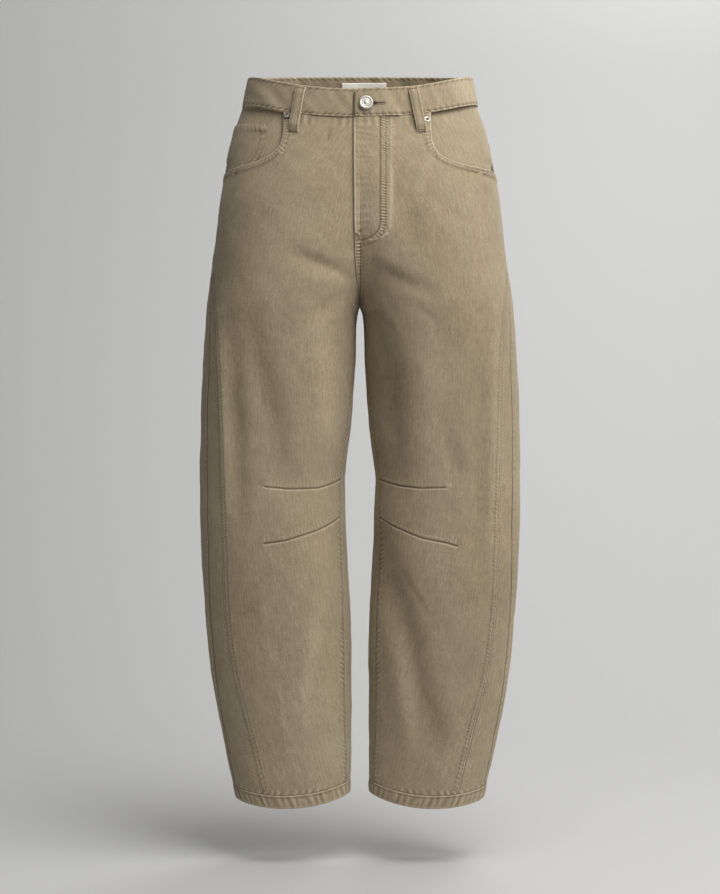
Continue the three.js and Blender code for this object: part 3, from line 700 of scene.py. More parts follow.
def closed_sheet(name, side, outer, inner, g, level, wear_and_shade, material):
    """A sheet between two grids of points, with a rim that joins their edges."""
    down, across = g.shape
    count = g.size
    front = grid_faces(down, across)
    rim = np.r_[np.arange(across - 1), np.arange(across - 1, count - 1, across),
                np.arange(count - 1, count - across, -1), np.arange(count - across, 0, -across)]
    after = np.roll(rim, -1)
    band = np.stack([rim, after, after + count, rim + count], 1)
    faces = np.concatenate([front, front[:, ::-1] + count, band])
    if side < 0:
        faces = faces[:, ::-1]
    points = np.concatenate([outer.reshape(-1, 3), inner.reshape(-1, 3)])
    uv = np.tile(np.stack([g.ravel(), level.ravel()], 1), (2, 1))
    return build(name, points, faces, material, uv, np.tile(wear_and_shade.ravel(), 2))


def closed_shell(name, piece, g, level, depth):
    """A sheet over a grid of g and level, with an inner face its depth below the outer one."""
    outer, normal, wear_and_shade = piece.at(g, level)
    inner = outer - normal * depth
    return closed_sheet(name, piece.side, outer, inner, g, level, wear_and_shade, TWILL)


def finished(obj, slot, *nodes):
    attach(obj, "root")
    if nodes:
        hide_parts(*nodes)
    return obj


# Stitches
def stitch_tree():
    """Threads of a given size, one after another along each path, each lying on the cloth."""
    tree = bpy.data.node_groups.new("row_of_stitches", "GeometryNodeTree")
    tree.interface.new_socket("Path", in_out="INPUT", socket_type="NodeSocketGeometry")
    for name in ("Pitch", "Length", "Width", "Height", "Turn"):
        tree.interface.new_socket(name, in_out="INPUT", socket_type="NodeSocketFloat")
    tree.interface.new_socket("Seed", in_out="INPUT", socket_type="NodeSocketInt")
    tree.interface.new_socket("Thread", in_out="INPUT", socket_type="NodeSocketMaterial")
    tree.interface.new_socket("Stitches", in_out="OUTPUT", socket_type="NodeSocketGeometry")
    nodes, link = tree.nodes, tree.links.new
    given, out = nodes.new("NodeGroupInput"), nodes.new("NodeGroupOutput")
    curve = nodes.new("GeometryNodeMeshToCurve")
    link(given.outputs["Path"], curve.inputs[0])
    spaced = nodes.new("GeometryNodeResampleCurve")
    spaced.mode = "LENGTH"
    link(curve.outputs[0], spaced.inputs["Curve"])
    link(given.outputs["Pitch"], spaced.inputs["Length"])
    facing = nodes.new("GeometryNodeInputNamedAttribute")
    facing.data_type = "FLOAT_VECTOR"
    facing.inputs["Name"].default_value = "facing"
    upright = nodes.new("FunctionNodeAlignRotationToVector")
    upright.axis = "Z"
    link(facing.outputs["Attribute"], upright.inputs["Vector"])
    along = nodes.new("FunctionNodeAlignRotationToVector")
    along.axis, along.pivot_axis = "X", "Z"
    link(upright.outputs["Rotation"], along.inputs["Rotation"])
    link(nodes.new("GeometryNodeInputTangent").outputs[0], along.inputs["Vector"])
    sway = nodes.new("FunctionNodeRandomValue")
    sway.inputs[2].default_value, sway.inputs[3].default_value = -0.12, 0.12
    link(given.outputs["Seed"], sway.inputs["Seed"])
    turned = nodes.new("ShaderNodeMath")
    link(sway.outputs[1], turned.inputs[0])
    link(given.outputs["Turn"], turned.inputs[1])
    angles = nodes.new("ShaderNodeCombineXYZ")
    link(turned.outputs[0], angles.inputs["Z"])
    twist = nodes.new("FunctionNodeRotateRotation")
    twist.rotation_space = "LOCAL"
    link(along.outputs["Rotation"], twist.inputs["Rotation"])
    link(angles.outputs[0], twist.inputs["Rotate By"])
    thread = nodes.new("GeometryNodeMeshIcoSphere")
    thread.inputs["Radius"].default_value = 0.5
    thread.inputs["Subdivisions"].default_value = 1
    size = nodes.new("ShaderNodeCombineXYZ")
    for socket, name in zip(size.inputs, ("Length", "Width", "Height")):
        link(given.outputs[name], socket)
    sized = nodes.new("GeometryNodeTransform")
    link(thread.outputs["Mesh"], sized.inputs["Geometry"])
    link(size.outputs[0], sized.inputs["Scale"])
    spread = nodes.new("FunctionNodeRandomValue")
    spread.inputs[2].default_value, spread.inputs[3].default_value = 0.88, 1.06
    link(given.outputs["Seed"], spread.inputs["Seed"])
    laid = nodes.new("GeometryNodeInstanceOnPoints")
    link(spaced.outputs[0], laid.inputs["Points"])
    link(sized.outputs[0], laid.inputs["Instance"])
    link(twist.outputs[0], laid.inputs["Rotation"])
    link(spread.outputs[1], laid.inputs["Scale"])
    real = nodes.new("GeometryNodeRealizeInstances")
    link(laid.outputs[0], real.inputs[0])
    soft = nodes.new("GeometryNodeSetShadeSmooth")
    link(real.outputs[0], soft.inputs[0])
    dyed = nodes.new("GeometryNodeSetMaterial")
    link(soft.outputs[0], dyed.inputs[0])
    link(given.outputs["Thread"], dyed.inputs["Material"])
    link(dyed.outputs[0], out.inputs[0])
    return tree


STITCHES = stitch_tree()
TOPSTITCH = dict(Pitch=3.9, Length=2.9, Width=0.8, Height=0.6, Turn=0.0)
TACK = dict(Pitch=0.65, Length=2.6, Width=0.7, Height=0.7, Turn=math.pi / 2)


def sewn(name, paths, size=TOPSTITCH, seed=1, material=None):
    """One mesh of stitches along paths, each a pair of points and facings."""
    points = np.concatenate([p for p, _ in paths]) * MM
    facings = np.concatenate([n for _, n in paths])
    edges, first = [], 0
    for p, _ in paths:
        edges += [(k, k + 1) for k in range(first, first + len(p) - 1)]
        first += len(p)
    mesh = bpy.data.meshes.new(name + "_paths")
    mesh.from_pydata(points.tolist(), edges, [])
    mesh.attributes.new("facing", "FLOAT_VECTOR", "POINT")
    mesh.attributes["facing"].data.foreach_set("vector", facings.astype(np.float32).ravel())
    guide = bpy.data.objects.new(name + "_paths", mesh)
    bpy.context.scene.collection.objects.link(guide)
    modifier = guide.modifiers.new("stitches", "NODES")
    modifier.node_group = STITCHES
    sockets = {s.name: s.identifier for s in STITCHES.interface.items_tree if s.in_out == "INPUT"}
    for key, value in size.items():
        modifier[sockets[key]] = value if key == "Turn" else value * MM
    modifier[sockets["Seed"]] = seed
    modifier[sockets["Thread"]] = material or THREAD
    ready = guide.evaluated_get(bpy.context.evaluated_depsgraph_get())
    threads = bpy.data.objects.new(name, bpy.data.meshes.new_from_object(ready))
    threads.data.name = name
    bpy.context.scene.collection.objects.link(threads)
    bpy.data.objects.remove(guide)
    bpy.data.meshes.remove(mesh)
    return finished(threads, "twill")


THREAD_OFF = 0.12


def row_on(piece, path, step=3.0):
    path = even(path, step=step)
    points, normals, _ = piece.at(path[:, 0], path[:, 1], THREAD_OFF)
    return points, normals


def seam_rows(piece, s):
    """The stitch rows of a seam, on the piece that it laps."""
    return [row_on(piece, beside(s["path"], s["up"] * row)) for row in s["rows"]]


# Where the seams run
def outseam(level):
    return -read(SEAM, "outseam", level)


def panel_seam(level):
    return outseam(level) - np.maximum(SIDE_PANEL["top_width"], read(SEAM, "panel", level))


def mouth_drop(side, turn):
    return (np.sin(turn) / math.sin(POCKET["sweep"])) ** MOUTH[side]["drop"]


def pocket_mouth(side, turn, grow):
    level = mix(BAND_SEAM, POCKET["foot"] - grow, mouth_drop(side, turn))
    share = (1 - np.cos(turn)) / (1 - math.cos(POCKET["sweep"]))
    g = mix(round_at(MOUTH[side]["x"] - grow, level, -1), -HALF_GAP, share)
    return g, level


def mouth_level(side, g, level):
    share = np.clip(1 - g / round_at(MOUTH[side]["x"], level, -1), 0, 1)
    turn = np.arccos(1 - share * (1 - math.cos(POCKET["sweep"])))
    return mix(BAND_SEAM, POCKET["foot"], mouth_drop(side, turn))


def yoke_seam(g):
    level = np.full(np.shape(g), YOKE_MIDDLE)
    x = across_form(np.asarray(g, float), level)[0]
    from_side = np.clip(1 - x / at_level("outer", level), 0, 1)
    return mix(YOKE["side"], YOKE["centre"], from_side**1.1)


def down_seam(line, top, foot, step=5):
    """The path of a seam whose g is known at each level."""
    level = np.linspace(top, foot, int((top - foot) / step) + 1)
    return np.stack([line(level), level], 1)


def front_line(side_x, top, foot):
    return down_seam(lambda level: round_at(side_x, level, -1), top, foot)


def spread_columns(width, inner_count, inner_step, middle, outer_count, outer_step):
    """Distances across a panel, close together near both of its edges."""
    inner = np.arange(inner_count) * inner_step
    outer = np.arange(outer_count)[::-1] * outer_step
    shares = np.linspace(0, 1, middle + 2)[1:-1]
    first, last = inner[-1], width - outer[0]
    return np.r_[inner, mix(first, last, shares), width - outer]


def lap(level):
    """How far the wearer's left front reaches past the centre, down to the crotch."""
    return FLY["edge"] * smooth((level - CROTCH - 2) / 14)


def fly_rise(g, level):
    from_centre = g - at_level("start", level)
    across = smooth((FLY["fade_out"] - from_centre) / (FLY["fade_out"] - FLY["flat"]))
    down = smooth((level - FLY["fade"]) / (FLY["join"] - FLY["fade"]))
    rise_seam = 1.5 * smooth((20 - from_centre) / 16) * smooth((level - CROTCH - 4) / 24)
    return np.maximum(FLY["lift"] * across * down, rise_seam)


def dart(points):
    """A knee dart, given by x and height at the front."""
    points = np.array(points, float)
    return even(np.stack([round_at(points[:, 0], points[:, 1], -1), points[:, 1]], 1), step=4)


DARTS = {
    -1: [[(22, -501), (53, -512), (90, -513), (120, -510)],
         [(22, -548), (55, -566), (94, -578), (121, -582)]],
    1: [[(22, -501), (48, -509), (77, -512), (108, -511)],
        [(23, -549), (46, -562), (78, -575), (109, -581), (122, -585)]],
}


def seams_of(side):
    made = {}
    turns = np.linspace(0, POCKET["sweep"], 60)
    made["mouth"] = seam(np.stack(pocket_mouth(side, turns, 0), 1), up=-1, width=9.5, height=0.7,
                         groove=0.2, rows=(1.8, 8.6), pucker=0.42, pitch=4.2, slant=-0.3, edge=2.6)
    made["panel"] = seam(down_seam(panel_seam, SIDE_PANEL["top"], HEM_TOP), up=1, width=9,
                         height=0.4, groove=0.1, rows=(2.2, 7.8), pucker=0.16, pitch=4.6, dark=0.3,
                         edge=0.9, under=0.7)
    made["out"] = seam(down_seam(outseam, BAND_SEAM, HEM_TOP), up=1, width=5, height=0.1,
                       groove=1.1, rows=(), pucker=0.18, pitch=9, dark=2.0, line=1.1)
    made["in"] = seam(down_seam(lambda level: at_level("start", level), -290, HEM_TOP), up=1,
                      width=4.5, height=0.5, rows=(3.8,), pucker=0.24, pitch=6.5, reach=8,
                      edge=0.0, dark=2.4, line=1.4)
    made["in_back"] = seam(down_seam(lambda level: at_level("end", level), -290, HEM_TOP), up=-1,
                           width=5, height=0.0, rows=(), pucker=0.15, pitch=8)
    reach = np.linspace(-400, 400, 200)
    made["band"] = seam(np.stack([reach, np.full(200, BAND_SEAM)], 1), up=-1, width=4, height=0.0,
                        groove=1.0, rows=(), pucker=0.3, pitch=10, edge=0.2, reach=13)
    made["hem"] = seam(np.stack([reach, np.full(200, HEM_TOP)], 1), up=1, width=5, height=0.0,
                       groove=0.5, rows=(), pucker=0.3, pitch=9.5, slant=0.8, edge=0.6, dark=0.6)
    back = np.linspace(outseam(-64.0), 330, 160)
    made["yoke"] = seam(np.stack([back, yoke_seam(back)], 1), up=-1, width=8.5, height=0.5,
                        rows=(1.8, 8), pucker=0.26, pitch=7)
    made["back"] = seam(down_seam(lambda level: at_level("end", level), BAND_SEAM, CROTCH), up=-1,
                        width=8.5, height=0.4 * (side > 0), rows=(1.8, 8) if side > 0 else (),
                        pucker=0.26 * (side > 0), pitch=7)
    made["darts"] = [seam(dart(points), up=1, width=3, height=0.35, groove=0.7, rows=(),
                          pucker=0.24, pitch=4.2, slant=0.1, fade=8, edge=0.0, reach=8.5, dark=2.2,
                          under=1.5)
                     for points in DARTS[side]]
    return made


SEAMS = {side: seams_of(side) for side in (1, -1)}
HAND = {1: "left", -1: "right"}


# The placket's two J-shaped rows, by their distance from the centre and how low they turn.
J_STITCHING = ((25.5, -196), (32.0, -202))


def fly_seams():
    edge = down_seam(lambda level: at_level("start", level) - lap(level), BAND_SEAM, CROTCH + 8)
    rise = edge[edge[:, 1] < -196]
    fly_edge = edge[edge[:, 1] > -190]
    stitched = []
    turn = np.linspace(0, math.pi / 2, 14)
    for x, foot in J_STITCHING:
        straight = front_line(x, BAND_SEAM, foot + 20)
        centre = at_level("start", foot + 20.0) - 3
        reach = straight[-1, 0] - centre
        curve = np.stack([centre + reach * np.cos(turn), foot + 20 - 24 * np.sin(turn)], 1)
        stitched.append(np.vstack([straight, curve[1:]]))
    return fly_edge, rise, stitched


FLY_EDGE, RISE, J_ROWS = fly_seams()
FLY_SEAMS = [
    seam(FLY_EDGE, up=1, width=5, height=0.2, groove=0.0, rows=(), pucker=0.15, pitch=10.4,
         edge=1.8, slant=0.35, reach=19, stain=1.2),
    seam(RISE, up=1, width=9, height=0.25, groove=0.0, rows=(1.8, 8.2), pucker=0.5, pitch=4.1,
         slant=0.4, edge=1.6),
    seam(J_ROWS[0], up=1, width=6.8, height=0.2, groove=0.35, rows=(6.5,), pucker=0.42, pitch=4,
         slant=0.05, edge=0.3, dark=1.6),
    seam(J_ROWS[0] + [12.5, 0], up=1, width=2.5, height=0.55, groove=0.0, rows=(), pucker=0.15,
         edge=1.0, dark=0),
]


# The cloth pieces
MOUTH_ROWS = 110
FRONT_LEVELS = np.r_[np.arange(-108, -292, -1.1), np.arange(-292, -494, -1.6),
                     np.arange(-494, -592, -1.1), np.arange(-592, HEM_TOP + 1, -1.6), HEM_TOP]
BACK_LEVELS = np.r_[np.arange(-108, -240, -2.1), np.arange(-240, -292, -1.1),
                    np.arange(-292, HEM_TOP + 1, -2.1), HEM_TOP]
# How the columns are spread across a panel, as spread_columns takes it.
FRONT_SPREAD = (44, 1.0, 34, 51, 1.2)
BACK_SPREAD = (11, 1.2, 60, 16, 1.3)
# Below the crotch the columns take up the inseam's line over this far.
CROTCH_EASE = 22


def carried_on(above, row):
    """The row's ends, with its outer columns straight below those above the crotch."""
    near = FRONT_SPREAD[0]
    scale = (row[-1] - above[near]) / (above[-1] - above[near])
    outer = above[near] + (above[near:] - above[near]) * scale
    return np.r_[np.linspace(row[0], above[near], near + 1)[:-1], outer]


def front_panel(side):
    s = SEAMS[side]
    turns = np.linspace(0, POCKET["sweep"], 400)
    mouth = even(np.stack(pocket_mouth(side, turns, 0), 1), count=MOUTH_ROWS + 1)
    rows_g, rows_level = [], []
    for k, (outer_g, outer_level) in enumerate(mouth[:-1]):
        centre = mix(BAND_SEAM, POCKET["foot"], k / MOUTH_ROWS)
        inner = at_level("start", centre) - (lap(centre) if side > 0 else FLY["under"])
        across = spread_columns(outer_g - inner, *FRONT_SPREAD)
        rows_g.append(inner + across)
        rows_level.append(mix(centre, outer_level, smooth(across / across[-1])))
    for level in FRONT_LEVELS:
        edge = panel_seam(level) if level <= SIDE_PANEL["top"] else outseam(level)
        joined = at_level("inner", level) < HALF_GAP
        inner = at_level("start", level) + (0 if joined else HALF_GAP)
        if side > 0:
            inner -= lap(level)
        elif level >= FLY["foot"]:
            inner -= FLY["under"]
        row = inner + spread_columns(edge - HALF_GAP - inner, *FRONT_SPREAD)
        if joined:
            last_joined = row
        else:
            row = mix(carried_on(last_joined, row), row, smooth((CROTCH - level) / CROTCH_EASE))
        rows_g.append(row)
        rows_level.append(np.full(row.shape, level))
    seams = [s["mouth"], dict(s["panel"], up=-1), s["out"], s["in"], s["band"], s["hem"],
             *s["darts"]]
    piece = Piece(side, seams, fly_rise if side > 0 else lambda g, level: 0.0)
    if side > 0:
        piece.seams += FLY_SEAMS
    name = "front_" + HAND[side]
    made = shell(name, piece, np.array(rows_g), np.array(rows_level))
    return finished(made, "twill", name), piece


def side_panel(side):
    s = SEAMS[side]
    levels = FRONT_LEVELS[FRONT_LEVELS < SIDE_PANEL["top"] - SEAM_GAP]
    levels = np.r_[SIDE_PANEL["top"] - SEAM_GAP, levels]
    inner, outer = panel_seam(levels) + HALF_GAP, outseam(levels) - HALF_GAP
    share = np.linspace(0, 1, 25)
    g = mix(inner[:, None], outer[:, None], share)
    panel = dict(s["panel"], rows=(), height=0, pucker=0.1, edge=0)
    piece = Piece(side, [panel, s["out"], s["hem"]])
    name = "side_panel_" + HAND[side]
    made = shell(name, piece, g, np.repeat(levels[:, None], 25, 1))
    return finished(made, "twill", name), piece


def back_row(level):
    gap = np.where(at_level("inner", level) < HALF_GAP, 0, HALF_GAP)
    return outseam(level) + HALF_GAP, at_level("end", level) - gap


def back_panel(side):
    s = SEAMS[side]
    bases = np.r_[np.arange(YOKE["side"], -108, -2.1), BACK_LEVELS]
    rows_g, rows_level = [], []
    for k, base in enumerate(bases):
        slope = np.clip((base - YOKE["flat_at"]) / (YOKE["side"] - YOKE["flat_at"]), 0, 1)
        outer, inner = back_row(base)
        across = spread_columns(inner - outer, *BACK_SPREAD)
        g = outer + across
        level = base + slope * (yoke_seam(g) - YOKE["side"]) - (HALF_GAP if k == 0 else 0)
        first, last = back_row(level[0])[0], back_row(level[-1])[1]
        g = mix(first, last, across / across[-1])
        rows_g.append(g)
        rows_level.append(level)
    out = dict(s["out"], up=1, height=0.15)
    seams = [dict(s["yoke"], up=-1), s["back"], s["in_back"], out, s["hem"]]
    piece = Piece(side, seams)
    name = "back_" + HAND[side]
    made = shell(name, piece, np.array(rows_g), np.array(rows_level))
    return finished(made, "twill", name), piece


def yoke(side):
    s = SEAMS[side]
    shares = np.linspace(0, 1, 36)
    outer, inner = back_row(YOKE_MIDDLE)
    g = outer + spread_columns(inner - outer, *BACK_SPREAD)
    level = mix(BAND_SEAM, (yoke_seam(g) + HALF_GAP)[None, :], shares[:, None])
    first, last = back_row(level[:, 0])[0][:, None], back_row(level[:, -1])[1][:, None]
    g = mix(first, last, ((g - g[0]) / (g[-1] - g[0]))[None, :])
    seams = [dict(s["yoke"], rows=(), height=0, pucker=0.1, edge=0), s["back"], s["band"],
             dict(s["out"], height=0.15)]
    piece = Piece(side, seams)
    name = "yoke_" + HAND[side]
    made = shell(name, piece, g, level)
    return finished(made, "twill", name), piece


FACING = dict(deep=-3.9, shallow=-0.6, below=0.4, thick=1.0)


def facing_point(side, a, b):
    """g and level of the facing at shares across and down it."""
    g, level = pocket_mouth(side, b * POCKET["sweep"], POCKET["facing"])
    level = level - FACING["below"] * (1 - b)
    return mix(np.minimum(g, -6), -HALF_GAP, a), level


def facing_lift(side):
    def lift(g, level):
        inner = round_at(MOUTH[side]["x"] - POCKET["facing"], level, -1)
        a = np.clip(1 - g / np.minimum(inner, -6), 0, 1)
        clear = smooth((level - mouth_level(side, g, level) - 8) / 12)
        return mix(FACING["deep"], FACING["shallow"], clear * smooth((a - 0.5) / 0.5))
    return lift


def pocket_facing(side):
    turns = np.linspace(0, 1, 400)
    edge = np.stack(facing_point(side, 0.0, turns), 1)
    far = np.r_[0, np.cumsum(np.hypot(*np.diff(edge, axis=0).T))]
    b = np.interp(np.linspace(0, far[-1], 70), far, turns)
    a = np.linspace(0, 1, 46)
    g, level = facing_point(side, a[None, :], b[:, None])
    g, level = np.broadcast_arrays(g, level)
    piece = Piece(side, [dict(SEAMS[side]["band"], pucker=0.06),
                         dict(SEAMS[side]["out"], pucker=0.1)],
                  facing_lift(side))
    name = "pocket_facing_" + HAND[side]
    made = closed_shell(name, piece, g, level, FACING["thick"])
    return finished(made, "twill", name), piece


# The coin pocket's edges, in eighths of the facing's width and ninths of its height.
COIN_POCKET = dict(inner=2.35, inner_foot=1.44, outer=7.6, top=0.2, top_outer=0.44, foot=7.0,
                   lift=1.5, thick=1.1)
FACING_COLUMNS, FACING_ROWS = 8, 9


def coin_pocket(base):
    side = -1
    a = np.linspace(0, 1, 46)[None, :]
    b = np.linspace(0, 1, 50)[:, None]
    cut = COIN_POCKET
    column = mix(mix(cut["inner"], cut["inner_foot"], b), cut["outer"], a)
    row = mix(mix(cut["top"], cut["top_outer"], a), cut["foot"], b)
    g, level = facing_point(side, column / FACING_COLUMNS, row / FACING_ROWS)
    top = np.stack([g[0], level[0]], 1)
    edge = np.stack([g[:, 0], level[:, 0]], 1)
    seams = [seam(top, up=-1, width=11, height=0.35, groove=0.0, rows=(2, 10), pucker=0.25, pitch=7,
                  edge=2.2),
             seam(edge, up=1, width=7, height=0.2, groove=0.0, rows=(1.8, 6.6), pucker=0.2, pitch=6,
                  edge=2.2)]
    piece = Piece(side, seams, lambda g, level: base.lift(g, level) + cut["lift"])
    made = closed_shell("coin_pocket", piece, g, level, cut["thick"])
    finished(made, "twill", "coin_pocket")
    return made, [row for s in seams for row in seam_rows(piece, s)]


BACK_POCKET = dict(inner=17, inner_foot=22, width=146, width_foot=132, top=-98.5, foot=-205,
                   point=-219, lift=1.7, thick=1.4)


def back_pocket(side, base):
    cut = BACK_POCKET
    a = np.linspace(0, 1, 60)[None, :]
    b = np.linspace(0, 1, 56)[:, None]
    foot = mix(cut["foot"], cut["point"], 1 - np.abs(2 * a - 1))
    level = mix(cut["top"], foot, b)
    inner = round_at(mix(cut["inner"], cut["inner_foot"], b) + 0 * level, level, 1)
    g = inner - mix(cut["width"], cut["width_foot"], b) * (1 - a)
    edges = [np.stack([g[:, 0], level[:, 0]], 1), np.stack([g[-1], level[-1]], 1),
             np.stack([g[:, -1], level[:, -1]], 1)]
    head = np.stack([g[0], level[0]], 1)
    look = dict(width=7.5, height=0.2, groove=0.0, rows=(1.8, 7), pucker=0.24, pitch=6.5, edge=1.0)
    seams = [seam(edge, up=up, **look) for edge, up in zip(edges, (1, 1, -1))]
    seams.append(seam(head, up=-1, **dict(look, width=13, rows=(2, 12))))
    piece = Piece(side, seams + base.seams[:1], lambda g, level: base.lift(g, level) + cut["lift"])
    name = "back_pocket_" + HAND[side]
    made = closed_shell(name, piece, g, level, cut["thick"])
    finished(made, "twill", name)
    return made, [row for s in seams for row in seam_rows(piece, s)]


# Strips: the waistband and the hems are a flat section with rolled edges, carried along a path.
EDGE_ROLL = 0.03


def strip_section(face, out, inside, roll):
    """(share of the height, off) round a flat section, by its rows of points outside and in."""
    shares = np.linspace(0, 1, face)
    half = (out + inside) / 2
    turn = np.linspace(0, math.pi, roll + 2)[1:-1]
    outside = [(s, out) for s in shares]
    lower = [(1 + EDGE_ROLL * math.sin(t), out - half + half * math.cos(t)) for t in turn]
    inner = [(s, -inside) for s in shares[::-1]]
    upper = [(-EDGE_ROLL * math.sin(t), out - half - half * math.cos(t)) for t in turn]
    return np.array(outside + lower + inner + upper)


def band_top(path):
    """The free end of the waistband has a rounded top corner."""
    radius = 9.0
    into = np.clip(path + BAND["edge"], 0, radius)
    return HALF_BAND - radius + np.sqrt(radius**2 - (radius - into) ** 2)


# The waistband's small folds run slantwise, so its ripples are drawn out along the slant.
DRAG = np.array([[1, 0, 0.5], [0, 1, 0], [0.55, 0, 0.3]])


def band_place(path, level, off):
    start, end = at_level("start", level), at_level("end", level)
    half = end - start
    left = path <= half
    g = np.where(left, start + path, start + 2 * half - path)
    point, normal = bare_skin(1, g, level)
    other, other_normal = bare_skin(-1, g, level)
    point = np.where(left[..., None], point, other)
    normal = np.where(left[..., None], normal, other_normal)
    rise = BAND["lift"] * smooth((BAND["fade_out"] - path) / (BAND["fade_out"] - BAND["flat"]))
    ease = 0.6 * ripple(point, 46) + 0.8 * ripple(point @ DRAG, 17)
    height = off + rise + ease
    return point + normal * height[..., None], normal


def waistband():
    tail = float(2 * (at_level("end", 0.0) - at_level("start", 0.0))) + BAND["under"]
    path = np.r_[-BAND["edge"], -4.7, -4.2, np.arange(-3.4, 8, 1.2), np.arange(8, tail - 1, 2.1),
                 tail - 0.6, tail - 0.2, tail]
    from_end = np.minimum(path + BAND["edge"], tail - path)
    thin = np.sqrt(1 - (1 - np.clip(from_end / 1.2, 0, 1)) ** 2)
    section = strip_section(22, BAND["out"], BAND["inside"], 3)
    share, off = section[:, :1], section[:, 1:]
    middle = (BAND["out"] - BAND["inside"]) / 2
    off = middle + (off - middle) * thin
    level = mix(band_top(path)[None, :], BAND_SEAM + SEAM_GAP, share)
    path = np.broadcast_to(path, level.shape)
    outward = np.sign(off - middle)
    press, wear_and_shade = np.zeros(level.shape), np.zeros(level.shape)
    for near, away in ((1, band_top(path) - level), (-1, level - BAND_SEAM)):
        pressed = np.exp(-((away - EDGE_ROW) ** 2))
        wave = np.sin(2 * math.pi * (path + 0.5 * away) / 8.3 + np.sin(path / 31))
        band = smooth((7 - away) / 5)
        press += -0.4 * pressed + 0.26 * wave * band
        # -1.3 * pressed darkens the stitch rows' pressed grooves, painted shade; the waves and the
        # lighter line by each edge are rubbing.
        wear_and_shade += -1.3 * pressed + 0.6 * wave * band + 1.3 * np.exp(-(((away - 0.7) / 0.8) ** 2))
    off = off + press * outward * thin
    points, _ = band_place(path, level, off)
    down, across = level.shape
    faces = grid_faces(down, across, tube=True)
    uv = np.stack([path.ravel(), (level + 60 * (outward < 0)).ravel()], 1)
    wear_and_shade = wear_and_shade + 0.25 * ripple(points, 60)
    made = build("waistband", points.reshape(-1, 3), faces, TWILL, uv, wear_and_shade.ravel())
    finished(made, "twill", "waistband")
    rows = []
    path = np.arange(-BAND["edge"] + EDGE_ROW, tail - 4, 3.0)
    for level in (band_top(path) - EDGE_ROW, np.full(path.shape, BAND_SEAM + SEAM_ROW)):
        for off in (BAND["out"] - 0.25, -BAND["inside"] + 0.25):
            rows.append(band_place(path, level, np.full(path.shape, off)))
    heights = np.linspace(BAND_SEAM + SEAM_ROW, float(band_top(-2.8)) - EDGE_ROW, 12)
    rows.append(band_place(np.full(12, -2.8), heights, np.full(12, BAND["out"] - 0.2)))
    return made, rows


# A hem's two faces from the form, its length round the leg, and the ropes that its turn makes.
HEM = dict(out=0.5, inside=2.4, round=434, ropes=46)


def hem(side):
    around = 290
    section = strip_section(14, HEM["out"], HEM["inside"], 4)
    share, off = section[:, :1], section[:, 1:]
    level = mix(HEM_SEAM - HALF_GAP, HEM_EDGE + 0.5, share) + np.zeros((1, around))
    start, end = at_level("start", level), at_level("end", level)
    part = np.arange(around)[None, :] / around
    g = mix(start, end, part)
    round_leg = part * HEM["round"]
    from_top = HEM_SEAM - level
    outward = np.sign(off + (HEM["inside"] - HEM["out"]) / 2)
    pitch = HEM["round"] / HEM["ropes"]
    wave = np.sin(2 * math.pi * (round_leg + 0.3 * from_top) / pitch + 1.3 * np.sin(part * 37.7)
                  + 0.8 * np.sin(part * 113))
    uneven = 0.6 + 0.3 * np.sin(part * 69) + 0.25 * np.sin(part * 132 + 1)
    away = np.abs(from_top - EDGE_ROW)
    pressed = np.exp(-((away / 1.1) ** 2))
    bulge = np.sin(math.pi * np.clip(from_top / 16.5, 0, 1)) ** 0.7
    press = 0.42 * wave * uneven * bulge - 0.4 * pressed + 0.35 * bulge
    # -0.9 * pressed darkens the stitch row's pressed groove, painted shade; the ropes and the
    # lighter turned edge are rubbing.
    wear_and_shade = 0.9 * wave * uneven * bulge - 0.9 * pressed + 0.5 * smooth((from_top - 12) / 4)
    wear_and_shade += 0.8 * np.exp(-((from_top - 0.4) ** 2))
    piece = Piece(side)
    # The colour from the form adds clouds and painted shade in fold troughs.
    points, _, cloudy_and_fold_shade = piece.at(g, level, off + press * outward)
    faces = grid_faces(*g.shape, ring=True, tube=True)
    if side < 0:
        faces = faces[:, ::-1]
    uv = np.stack([g.ravel(), (level + 40 * (outward < 0)).ravel()], 1)
    name = "hem_" + HAND[side]
    made = build(name, points.reshape(-1, 3), faces, TWILL, uv, (wear_and_shade + cloudy_and_fold_shade).ravel())
    finished(made, "twill", name)
    part = np.linspace(0, 1, 150)
    level = np.full(150, HEM_SEAM - EDGE_ROW)
    g = mix(at_level("start", level), at_level("end", level), part)
    points, normals, _ = piece.at(g, level, HEM["out"])
    return made, [(points, normals)]


def belt_loop(name, side, top, foot):
    foot_level = -HALF_BAND - LOOP["below"]
    share = np.linspace(0, 1, 60)[:, None]
    across = np.linspace(-0.5, 0.5, 13)[None, :]
    level = mix(HALF_BAND - 1.5, foot_level, share) + 0 * across
    seat = np.where(share < 0.5, BAND["out"] + SEAM_GAP, SEAM_GAP)
    stands = smooth(share / LOOP["slope"]) * smooth((1 - share) / LOOP["slope"])
    lift = mix(seat, LOOP["stand"], stands) + LOOP["thick"]
    crown = -0.5 * (2 * np.abs(across)) ** 6
    rows = -0.3 * np.exp(-(((np.abs(across) * LOOP["width"] - LOOP["row"]) / 0.8) ** 2))
    g = mix(top(level), foot(level), share) + across * LOOP["width"]
    piece = Piece(side)
    outer, normal, wear_and_shade = piece.at(g, level, lift + crown + rows)
    inner = outer - normal * (LOOP["thick"] + crown)[..., None]
    # 4.5 * rows darkens the stitch rows' pressed grooves, painted shade; the lighter edges are
    # rubbing.
    wear_and_shade = wear_and_shade + 1.6 * (2 * np.abs(across)) ** 8 + 4.5 * rows
    made = closed_sheet(name, side, outer, inner, g, level, wear_and_shade, TWILL)
    finished(made, "twill", name)
    edges = [(outer[1:-1, column], normal[1:-1, column]) for column in (2, 10)]
    tacks = [(outer[r, 1:-1] + 0.1 * normal[r, 1:-1], normal[r, 1:-1]) for r in (2, 57)]
    return made, edges, tacks


